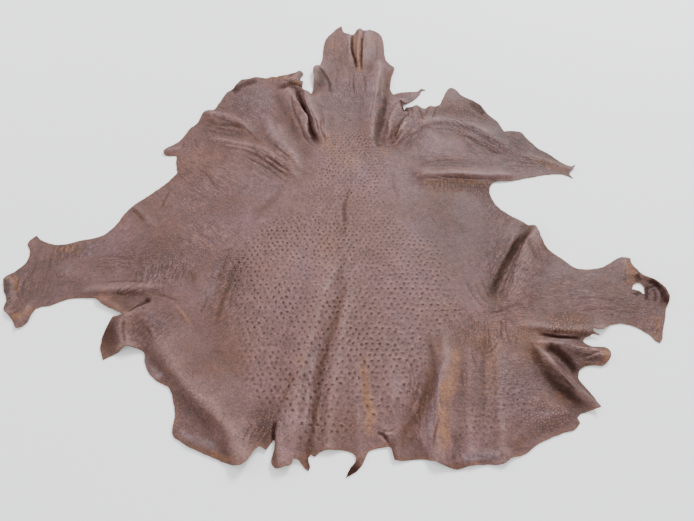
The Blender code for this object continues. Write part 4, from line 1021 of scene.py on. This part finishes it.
class HeightField:
    # the CAD hide's upper face on a square grid, rounded over its facets
    margin = 8  # cells

    def __init__(self, cadTree, cell):
        self.cell = cell
        self.low = (cadLow.x - self.margin * cell, cadLow.y - self.margin * cell)
        columns = int((cadHigh.x - cadLow.x) / cell) + 2 * self.margin + 2
        rows = int((cadHigh.y - cadLow.y) / cell) + 2 * self.margin + 2
        heights = np.zeros((columns, rows))
        known = np.zeros((columns, rows))
        for i in range(columns):
            for j in range(rows):
                place = Vector((self.low[0] + i * cell, self.low[1] + j * cell, 1.0))
                hit, normal = cadTree.ray_cast(place, Vector((0.0, 0.0, -1.0)))[:2]
                if hit and normal.z > 0.15:  # not on the cut edge
                    heights[i, j], known[i, j] = hit.z, 1.0
        self.fine = self.rounded(heights, known, rounds=1, crispness=0.9)
        self.broad = self.rounded(heights, known, rounds=70, crispness=0.0)

    def rounded(self, heights, known, rounds, crispness):
        share = np.maximum(blurred(known, rounds + 6), 1e-9)
        filled = np.where(known > 0, heights, blurred(heights * known, rounds + 6) / share)
        soft = blurred(filled, rounds)
        return soft + crispness * (soft - blurred(soft, rounds))

    def at(self, grid, points):
        column = (points[:, 0] - self.low[0]) / self.cell
        row = (points[:, 1] - self.low[1]) / self.cell
        i, j = column.astype(int), row.astype(int)
        u, v = column - i, row - j
        lower = grid[i, j] * (1 - u) + grid[i + 1, j] * u
        upper = grid[i, j + 1] * (1 - u) + grid[i + 1, j + 1] * u
        return lower * (1 - v) + upper * v


def chartOf(points):
    return (points[:, 0] - chartX) / cm, (points[:, 1] - chartY) / cm


def quillRelief(x, y, quills, settings):
    # the swell of each bump, and masks for its dark mark and its ring of painted highlight
    tree = treeOf(quills[:, :2])
    swell, mark, ringHighlight = np.zeros(len(x)), np.zeros(len(x)), np.zeros(len(x))
    reachX, reachY = settings["reach"]
    for i in np.flatnonzero((np.abs(x) < reachX) & (np.abs(y) < reachY)):
        _, which, gap = tree.find((x[i], y[i], 0.0))
        px, py, pitch, strength, turn = quills[which]
        out = gap / pitch
        if out < 0.8:
            rise = 0.5 + 0.5 * math.cos(math.pi * min(out / 0.5, 1.0))
            pit = max(0.0, 1.0 - out / 0.17)
            swell[i] = (0.4 + 0.6 * strength) * rise * settings["rise"] - strength * pit * settings["pit"]
            dx, dy = (x[i] - px) / pitch, (y[i] - py) / pitch
            along = dx * math.cos(turn) + dy * math.sin(turn)
            across = dy * math.cos(turn) - dx * math.sin(turn)
            oval = math.hypot(along / 0.36, across / 0.18)
            mark[i] = min(1.0, strength * 1.25 * max(0.0, 1.0 - oval**1.4))
            lit = 0.55 + 1.1 * max(0.0, across / max(out, 0.1))  # painted highlight, paler on one side as if lit from there
            ringHighlight[i] = strength * math.exp(-(((out - 0.34) / 0.13) ** 2)) * lit
    return swell, mark, ringHighlight


wrinkleWays = {  # degrees that it is turned in the mesh and in the shader, and the shader's fineness
    "upright": (90, 90, 165.0),
    "level": (0, 0, 165.0),
    "falling": (-40, 40, 150.0),
    "rising": (52, -52, 150.0),
}


def wrinkleRelief(x, y, tints):
    # wrinkles wide enough to be in the mesh: each kind is drawn out along its own way
    total = np.zeros(len(x))
    for kind, (turn, _, _) in wrinkleWays.items():
        which = np.flatnonzero(tints[kind] > 0.02)
        c, s = math.cos(math.radians(turn)), math.sin(math.radians(turn))
        along = x[which] * c + y[which] * s
        across = y[which] * c - x[which] * s
        folds = 1.0 - 2.6 * np.abs(noiseAt(along * 0.22, across * 0.85, 1.0, turn))
        total[which] += np.clip(folds, -0.6, 1.0) * tints[kind][which]
    return total


def meshGrain(settings, loops, field, quills):
    scatter = Scatter(loops)
    rows = pleatRows()
    addQuills(scatter, quills, quillSettings)
    addPleats(scatter, rows, settings)
    scatter.addField(settings["grainSpacing"], settings["grainSpacing"] * 0.56)
    points, triangles = fillSheet(loops, scatter.points, settings)
    x, y = chartOf(points)
    base = np.maximum(field.at(field.fine, points), settings["thickness"])
    tints = tintMasks(x, y)

    relief = noiseAt(x, y, 1.0 / settings["undulationSize"], 1.0)
    relief += 0.5 * noiseAt(x, y, 2.3 / settings["undulationSize"], 2.0)
    relief *= settings["undulation"]
    relief += wrinkleRelief(x, y, tints) * settings["coarseWrinkles"]
    tints["crease"] = np.zeros(len(x))
    for path, halfWidth, depth in rows:
        # a groove pushes up a low bank on either side
        which, across, share, _ = besidePath(path, halfWidth * 2.2, x, y)
        groove = ridge(across, halfWidth) - 0.35 * ridge(np.abs(across) - halfWidth * 1.2, halfWidth)
        groove *= taper(share, 0.22)
        relief[which] -= groove * depth * settings["creaseDepth"] * 0.001
        # painted shade in the groove, painted highlight on its banks and on ridges
        tints["crease"][which] += groove * np.clip(depth * 0.65, -1.0, 1.0)
    swell, mark, ringHighlight = quillRelief(x, y, quills, quillSettings)
    top = base + relief + swell
    floorGap = settings["thickness"] * 0.55  # the grain side stays this far above the floor
    top = np.where(top < 2 * floorGap, floorGap + 0.5 * top.clip(0), top)
    # painted highlight where the top stands above the broad form, painted shade where it sinks below it
    tints["ridge"] = np.clip((top - field.at(field.broad, points)) / settings["ridgeHeight"], -1.0, 1.0)
    tints["quillMark"] = mark
    tints["quillRingHighlight"] = ringHighlight
    edgeTree = treeOf([point for loop in loops for point in loop])
    edgeGap = np.array([edgeTree.find((px, py, 0.0))[2] for px, py in points])
    tints["cutEdge"] = np.clip(1.0 - edgeGap / settings["edgeTint"], 0.0, 1.0)
    shift = leanOf(x, y, base - settings["thickness"])
    return points, shift, top, triangles, tints


def meshFlesh(settings, loops, field, grainPoints, grainTop):
    # the flesh side follows the folds, with few points where it lies flat
    def wanted(x, y, row, column):
        raised = field.at(field.fine, np.array([(x, y)]))[0] > settings["thickness"] * 1.4
        return raised or (row % 2 == 0 and column % 2 == 0)

    scatter = Scatter(loops)
    scatter.addField(settings["fleshSpacing"], settings["fleshGap"], wanted)
    points, triangles = fillSheet(loops, scatter.points, settings)
    height = field.at(field.fine, points)
    step = settings["slopeStep"]
    slopes = []
    for way in ((step, 0), (0, step)):
        rise = field.at(field.fine, points + way) - field.at(field.fine, points - way)
        slopes.append(rise / (2 * step))
    steep = np.clip(np.sqrt(1 + slopes[0] ** 2 + slopes[1] ** 2), 1.0, settings["steepest"])
    bottom = height - settings["thickness"] * steep
    grainTree = treeOf(grainPoints)
    for i, (px, py) in enumerate(points):
        lowest = min(grainTop[which] for _, which, _ in grainTree.find_n((px, py, 0.0), 7))
        bottom[i] = min(bottom[i], lowest - settings["skinGap"])
    x, y = chartOf(points)
    shift = leanOf(x, y, np.maximum(height, settings["thickness"]) - settings["thickness"])
    return points, shift, np.maximum(bottom, 0.0), triangles


def buildHide(settings):
    source = cadHide()
    cadTree = BVHTree.FromBMesh(source)
    loops = [finerLoop(loop, settings) for loop in cutLoops(source, settings)]
    source.free()
    print("cut edge:", len(loops), "loops,", sum(len(loop) for loop in loops), "points")
    field = HeightField(cadTree, settings["heightCell"])
    quills = quillPlaces(quillSettings, treeOf([point for loop in loops for point in loop]))
    points, shift, top, triangles, tints = meshGrain(settings, loops, field, quills)
    print("grain side:", len(quills), "quill bumps,", len(triangles), "triangles")
    under, underShift, bottom, underTriangles = meshFlesh(settings, loops, field, points, top)
    print("flesh side:", len(underTriangles), "triangles")

    sheet = bmesh.new()
    upper = [sheet.verts.new((px, py, pz)) for (px, py), pz in zip(points + shift, top)]
    lower = [sheet.verts.new((px, py, pz)) for (px, py), pz in zip(under + underShift, bottom)]
    for triangle in triangles:
        sheet.faces.new([upper[i] for i in triangle])
    for triangle in underTriangles:
        sheet.faces.new([lower[i] for i in reversed(triangle)]).material_index = 1
    first = 0
    for loop in loops:
        for i in range(len(loop)):
            a, b = first + i, first + (i + 1) % len(loop)
            sheet.faces.new((upper[a], upper[b], lower[b], lower[a])).material_index = 1
        first += len(loop)
    bmesh.ops.recalc_face_normals(sheet, faces=sheet.faces)
    mesh = bpy.data.meshes.new("ostrichHide")
    sheet.to_mesh(mesh)
    sheet.free()
    mesh.shade_smooth()
    mesh.set_sharp_from_angle(angle=settings["sharpEdge"])
    for name, values in tints.items():
        layer = mesh.attributes.new(name, "FLOAT", "POINT")
        column = np.zeros(len(mesh.vertices), np.float32)
        column[: len(values)] = values
        layer.data.foreach_set("value", column)
    hide = bpy.data.objects.new("ostrichHide", mesh)
    bpy.context.scene.collection.objects.link(hide)
    print("hide:", len(mesh.vertices), "points,", len(mesh.polygons), "faces")
    return hide


# leather
leatherColours = {  # linear
    "mauve": (0.132, 0.063, 0.062),
    "warm": (0.104, 0.045, 0.033),
    # painted highlight on ridges and crease banks
    "raised": (0.205, 0.108, 0.096),
    # painted shade in hollows; on the flesh side it darkens the nap
    "hollow": (0.058, 0.024, 0.017),
    "tan": (0.215, 0.088, 0.030),
    # brown tone and painted shade in valleys, creases, wrinkle grooves and scale gaps
    "brownToneAndShade": (0.062, 0.022, 0.011),
    # painted shadow
    "paintedShadow": (0.024, 0.0075, 0.005),
    # painted bluish sky reflection
    "paintedSheen": (0.130, 0.082, 0.092),
    "mark": (0.024, 0.009, 0.009),
    # painted highlight around the quill bumps
    "ringHighlight": (0.210, 0.112, 0.094),
    "edge": (0.120, 0.048, 0.02),
    "flesh": (0.170, 0.105, 0.068),
    "fleshDark": (0.110, 0.062, 0.038),
}
leatherScales = {
    "cloud": 5.5,
    "mottle": 34.0,
    "blotch": 95.0,
    "scales": 165.0,
    "speckle": 230.0,
    "pores": 430.0,
    "fleshCloud": 9.0,
    "fleshNap": 420.0,
    "fleshPores": 620.0,
}
leatherDepths = {  # metres
    "wrinkles": 0.0013,
    "scales": 0.0009,
    "mottle": 0.0028,
    "speckle": 0.0016,
    "pores": 0.00035,
    "fleshNap": 0.0012,
    "fleshPores": 0.0003,
}


class Nodes:
    # places shader nodes and links their sockets
    def __init__(self, tree):
        self.tree = tree
        self.count = 0

    def put(self, node, socket, value):
        if isinstance(value, bpy.types.NodeSocket):
            self.tree.links.new(value, node.inputs[socket])
        else:
            node.inputs[socket].default_value = value

    def add(self, kind, inputs=None, **options):
        node = self.tree.nodes.new(kind)
        node.location = (200 * (self.count % 12) - 2400, -320 * (self.count // 12))
        self.count += 1
        for name, value in options.items():
            setattr(node, name, value)
        for socket, value in (inputs or {}).items():
            self.put(node, socket, value)
        return node

    def mask(self, name):
        return self.add("ShaderNodeAttribute", attribute_name=name).outputs["Fac"]

    def math(self, operation, a, b=0.5, clamp=False):
        return self.add("ShaderNodeMath", {0: a, 1: b}, operation=operation, use_clamp=clamp).outputs[0]

    def product(self, first, *others):
        for other in others:
            first = self.math("MULTIPLY", first, other)
        return first

    def sum(self, first, *others):
        for other in others:
            first = self.math("ADD", first, other)
        return first

    def blend(self, share, a, b, mode="MIX"):
        node = self.add("ShaderNodeMix", data_type="RGBA", blend_type=mode)
        for socket, value in ((0, share), (6, a), (7, b)):
            self.put(node, socket, (*value, 1.0) if isinstance(value, tuple) else value)
        return node.outputs[2]

    def noise(self, place, scale, detail=3.0, rough=0.55, distortion=0.0):
        inputs = {"Vector": place, "Scale": scale, "Detail": detail, "Roughness": rough}
        inputs["Distortion"] = distortion
        return self.add("ShaderNodeTexNoise", inputs).outputs["Fac"]

    def cells(self, place, scale, randomness, feature="F1"):
        inputs = {"Vector": place, "Scale": scale, "Randomness": randomness}
        return self.add("ShaderNodeTexVoronoi", inputs, feature=feature).outputs["Distance"]

    def span(self, value, low, high, start=0.0, end=1.0):
        inputs = {"Value": value, "From Min": low, "From Max": high, "To Min": start, "To Max": end}
        return self.add("ShaderNodeMapRange", inputs, clamp=True).outputs["Result"]

    def group(self, tree, **inputs):
        node = self.add("ShaderNodeGroup", node_tree=tree)
        for socket, value in inputs.items():
            self.put(node, socket, value)
        return node.outputs["Height"]

    def bump(self, height):
        inputs = {"Strength": 1.0, "Distance": 1.0, "Height": height}
        return self.add("ShaderNodeBump", inputs).outputs["Normal"]


def newGroup(name, takes, gives):
    group = bpy.data.node_groups.new(name, "ShaderNodeTree")
    for socket, kind in takes:
        group.interface.new_socket(socket, in_out="INPUT", socket_type="NodeSocket" + kind)
    for socket, kind in gives:
        group.interface.new_socket(socket, in_out="OUTPUT", socket_type="NodeSocket" + kind)
    nodes = Nodes(group)
    return nodes, nodes.add("NodeGroupInput").outputs, nodes.add("NodeGroupOutput").inputs


def poreGroup():
    # fine grain of the leather: height in metres
    takes = (("Place", "Vector"), ("Size", "Float"), ("Depth", "Float"))
    nodes, given, result = newGroup("leatherPores", takes, (("Height", "Float"),))
    cells = nodes.cells(given["Place"], given["Size"], 0.9)
    fine = nodes.noise(given["Place"], 900.0, 2.0)
    grain = nodes.sum(cells, nodes.product(fine, 0.5))
    nodes.tree.links.new(nodes.product(grain, given["Depth"]), result["Height"])
    return nodes.tree


def wrinkleGroup():
    # fine wrinkles that run one way: their height from 0 to 1
    takes = (("Place", "Vector"), ("Turn", "Vector"), ("Spacing", "Float"))
    nodes, given, result = newGroup("leatherWrinkles", takes, (("Height", "Float"),))
    inputs = {"Vector": given["Place"], "Rotation": given["Turn"]}
    turned = nodes.add("ShaderNodeVectorRotate", inputs, rotation_type="EULER_XYZ")
    drawn = nodes.add("ShaderNodeMapping", {"Vector": turned.outputs["Vector"], "Scale": (0.30, 1.0, 1.0)})
    lines = nodes.noise(drawn.outputs["Vector"], given["Spacing"], 3.0, 0.58, 0.9)
    nodes.tree.links.new(nodes.span(lines, 0.42, 0.58), result["Height"])
    return nodes.tree


def newLeather(name):
    material = bpy.data.materials.new(name)
    material.use_nodes = True
    nodes = Nodes(material.node_tree)
    return material, nodes, nodes.add("ShaderNodeTexCoord").outputs["Object"]


def dressShader(nodes, inputs):
    shader = nodes.tree.nodes["Principled BSDF"]
    for socket, value in inputs.items():
        nodes.put(shader, socket, value)


def grainLeather(pores, wrinkle):
    tones, scale, depth = leatherColours, leatherScales, leatherDepths
    material, nodes, place = newLeather("ostrichGrain")

    cloud = nodes.span(nodes.noise(place, scale["cloud"], 4.0, 0.6, 0.4), 0.36, 0.64)
    mottle = nodes.noise(place, scale["mottle"], 5.0, 0.65, 0.6)
    blotch = nodes.noise(place, scale["blotch"], 3.0, 0.6, 0.4)
    speckle = nodes.noise(place, scale["speckle"], 3.0, 0.65)
    colour = nodes.blend(cloud, tones["mauve"], tones["warm"])
    ridgeLitShadedMask = nodes.mask("ridge")
    # painted highlight on ridges, painted shade in hollows
    colour = nodes.blend(nodes.span(ridgeLitShadedMask, 0.1, 1.0, 0.0, 0.6), colour, tones["raised"])
    colour = nodes.blend(nodes.span(ridgeLitShadedMask, -0.08, -0.8, 0.0, 0.75), colour, tones["hollow"])
    # painted shade in crease grooves, painted highlight on their banks and on ridges
    crease = nodes.mask("crease")
    colour = nodes.blend(nodes.span(crease, 0.05, 0.8, 0.0, 0.85), colour, tones["brownToneAndShade"])
    colour = nodes.blend(nodes.span(crease, -0.15, -1.0, 0.0, 0.6), colour, tones["raised"])
    broken = nodes.span(mottle, 0.32, 0.68, 0.4, 1.15)
    broken = nodes.product(broken, nodes.span(blotch, 0.32, 0.68, 0.65, 1.2))
    # brown tone with painted shade, painted bluish sheen, and the leather's own tan
    for kind in ("brownToneAndShade", "paintedSheen", "tan"):
        amount = nodes.math("MULTIPLY", nodes.mask(kind), broken, clamp=True)
        colour = nodes.blend(nodes.product(amount, 0.95), colour, tones[kind])

    # wrinkles that run four ways, each kind where the chart puts it, with painted shade in their grooves and
    # painted highlight on their crests
    wrinkleGrooveShade, height = None, None
    for kind, (_, turn, spacing) in wrinkleWays.items():
        lines = nodes.group(wrinkle, Place=place, Turn=(0.0, 0.0, math.radians(turn)), Spacing=spacing)
        mask = nodes.mask(kind)
        sunk = nodes.product(nodes.math("SUBTRACT", 1.0, lines), mask)
        raised = nodes.product(lines, mask)
        wrinkleGrooveShade = sunk if wrinkleGrooveShade is None else nodes.math("MAXIMUM", wrinkleGrooveShade, sunk)
        height = raised if height is None else nodes.sum(height, raised)
    colour = nodes.blend(nodes.product(wrinkleGrooveShade, 0.35), colour, tones["brownToneAndShade"])

    # painted shade in the gaps between scales
    scales = nodes.span(nodes.cells(place, scale["scales"], 0.95, "DISTANCE_TO_EDGE"), 0.0, 0.24)
    scaly = nodes.mask("scaly")
    scaleGapShade = nodes.product(nodes.math("SUBTRACT", 1.0, scales), scaly)
    colour = nodes.blend(nodes.product(scaleGapShade, 0.5), colour, tones["brownToneAndShade"])

    # painted highlight ring around each quill bump
    colour = nodes.blend(nodes.product(nodes.mask("quillRingHighlight"), 0.34), colour, tones["ringHighlight"])
    uneven = nodes.span(speckle, 0.3, 0.6, 0.85, 1.15)
    mark = nodes.math("MULTIPLY", nodes.mask("quillMark"), uneven, clamp=True)
    colour = nodes.blend(nodes.product(mark, 0.82), colour, tones["mark"])
    edge = nodes.product(nodes.mask("cutEdge"), nodes.span(mottle, 0.35, 0.65, 0.25, 1.0))
    colour = nodes.blend(nodes.product(edge, 0.75), colour, tones["edge"])
    # painted shadow in slits, pockets, holes and under lips
    paintedShadow = nodes.mask("paintedShadow")
    colour = nodes.blend(nodes.product(paintedShadow, 0.93), colour, tones["paintedShadow"])
    # brightness: random tone, a broader darker tone, painted shade in wrinkle grooves and scale gaps, painted
    # highlight on wrinkle crests
    shade = nodes.product(
        nodes.span(mottle, 0.28, 0.72, 0.78, 1.22),
        nodes.span(speckle, 0.3, 0.7, 0.68, 1.32),
        nodes.span(blotch, 0.28, 0.72, 0.80, 1.20),
        nodes.span(nodes.mask("deep"), 0.0, 1.0, 1.0, 0.68),
        nodes.span(wrinkleGrooveShade, 0.0, 1.0, 1.0, 0.72),
        nodes.span(height, 0.0, 1.0, 1.0, 1.26),
        nodes.span(scaleGapShade, 0.0, 0.9, 1.0, 0.55),
        nodes.span(scaly, 0.0, 1.0, 1.0, 1.16),
    )
    grey = nodes.add("ShaderNodeCombineColor", {0: shade, 1: shade, 2: shade}).outputs["Color"]
    colour = nodes.blend(1.0, colour, grey, "MULTIPLY")

    # ridges are worn smoother; painted shadows and quill marks don't shine
    rough = nodes.span(nodes.math("SUBTRACT", mottle, nodes.product(ridgeLitShadedMask, 0.2)), 0.2, 0.8, 0.44, 0.66)
    shine = nodes.span(nodes.math("MAXIMUM", paintedShadow, mark), 0.0, 1.0, 0.34, 0.06)
    normal = nodes.bump(nodes.sum(
        nodes.product(height, depth["wrinkles"]),
        nodes.product(scales, scaly, depth["scales"]),
        nodes.product(mottle, depth["mottle"]),
        nodes.product(speckle, depth["speckle"]),
        nodes.group(pores, Place=place, Size=scale["pores"], Depth=depth["pores"]),
    ))
    inputs = {"Base Color": colour, "Roughness": rough, "Specular IOR Level": shine, "Normal": normal}
    dressShader(nodes, inputs)
    return material


def fleshLeather(pores):
    tones, scale, depth = leatherColours, leatherScales, leatherDepths
    material, nodes, place = newLeather("ostrichFlesh")
    cloud = nodes.span(nodes.noise(place, scale["fleshCloud"], 5.0, 0.65, 0.8), 0.35, 0.65)
    nap = nodes.noise(place, scale["fleshNap"], 4.0, 0.75, 1.0)
    colour = nodes.blend(cloud, tones["flesh"], tones["fleshDark"])
    colour = nodes.blend(nodes.span(nap, 0.35, 0.7, 0.0, 0.45), colour, tones["hollow"])
    fine = nodes.group(pores, Place=place, Size=scale["fleshPores"], Depth=depth["fleshPores"])
    normal = nodes.bump(nodes.sum(fine, nodes.product(nap, depth["fleshNap"])))
    dressShader(nodes, {"Base Color": colour, "Roughness": 0.9, "Normal": normal})
    return material


hide = buildHide(hideSettings)
poreNodes = poreGroup()
hide.data.materials.append(grainLeather(poreNodes, wrinkleGroup()))
hide.data.materials.append(fleshLeather(poreNodes))
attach(hide, "root")
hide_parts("hide")
print("leather is on the hide")
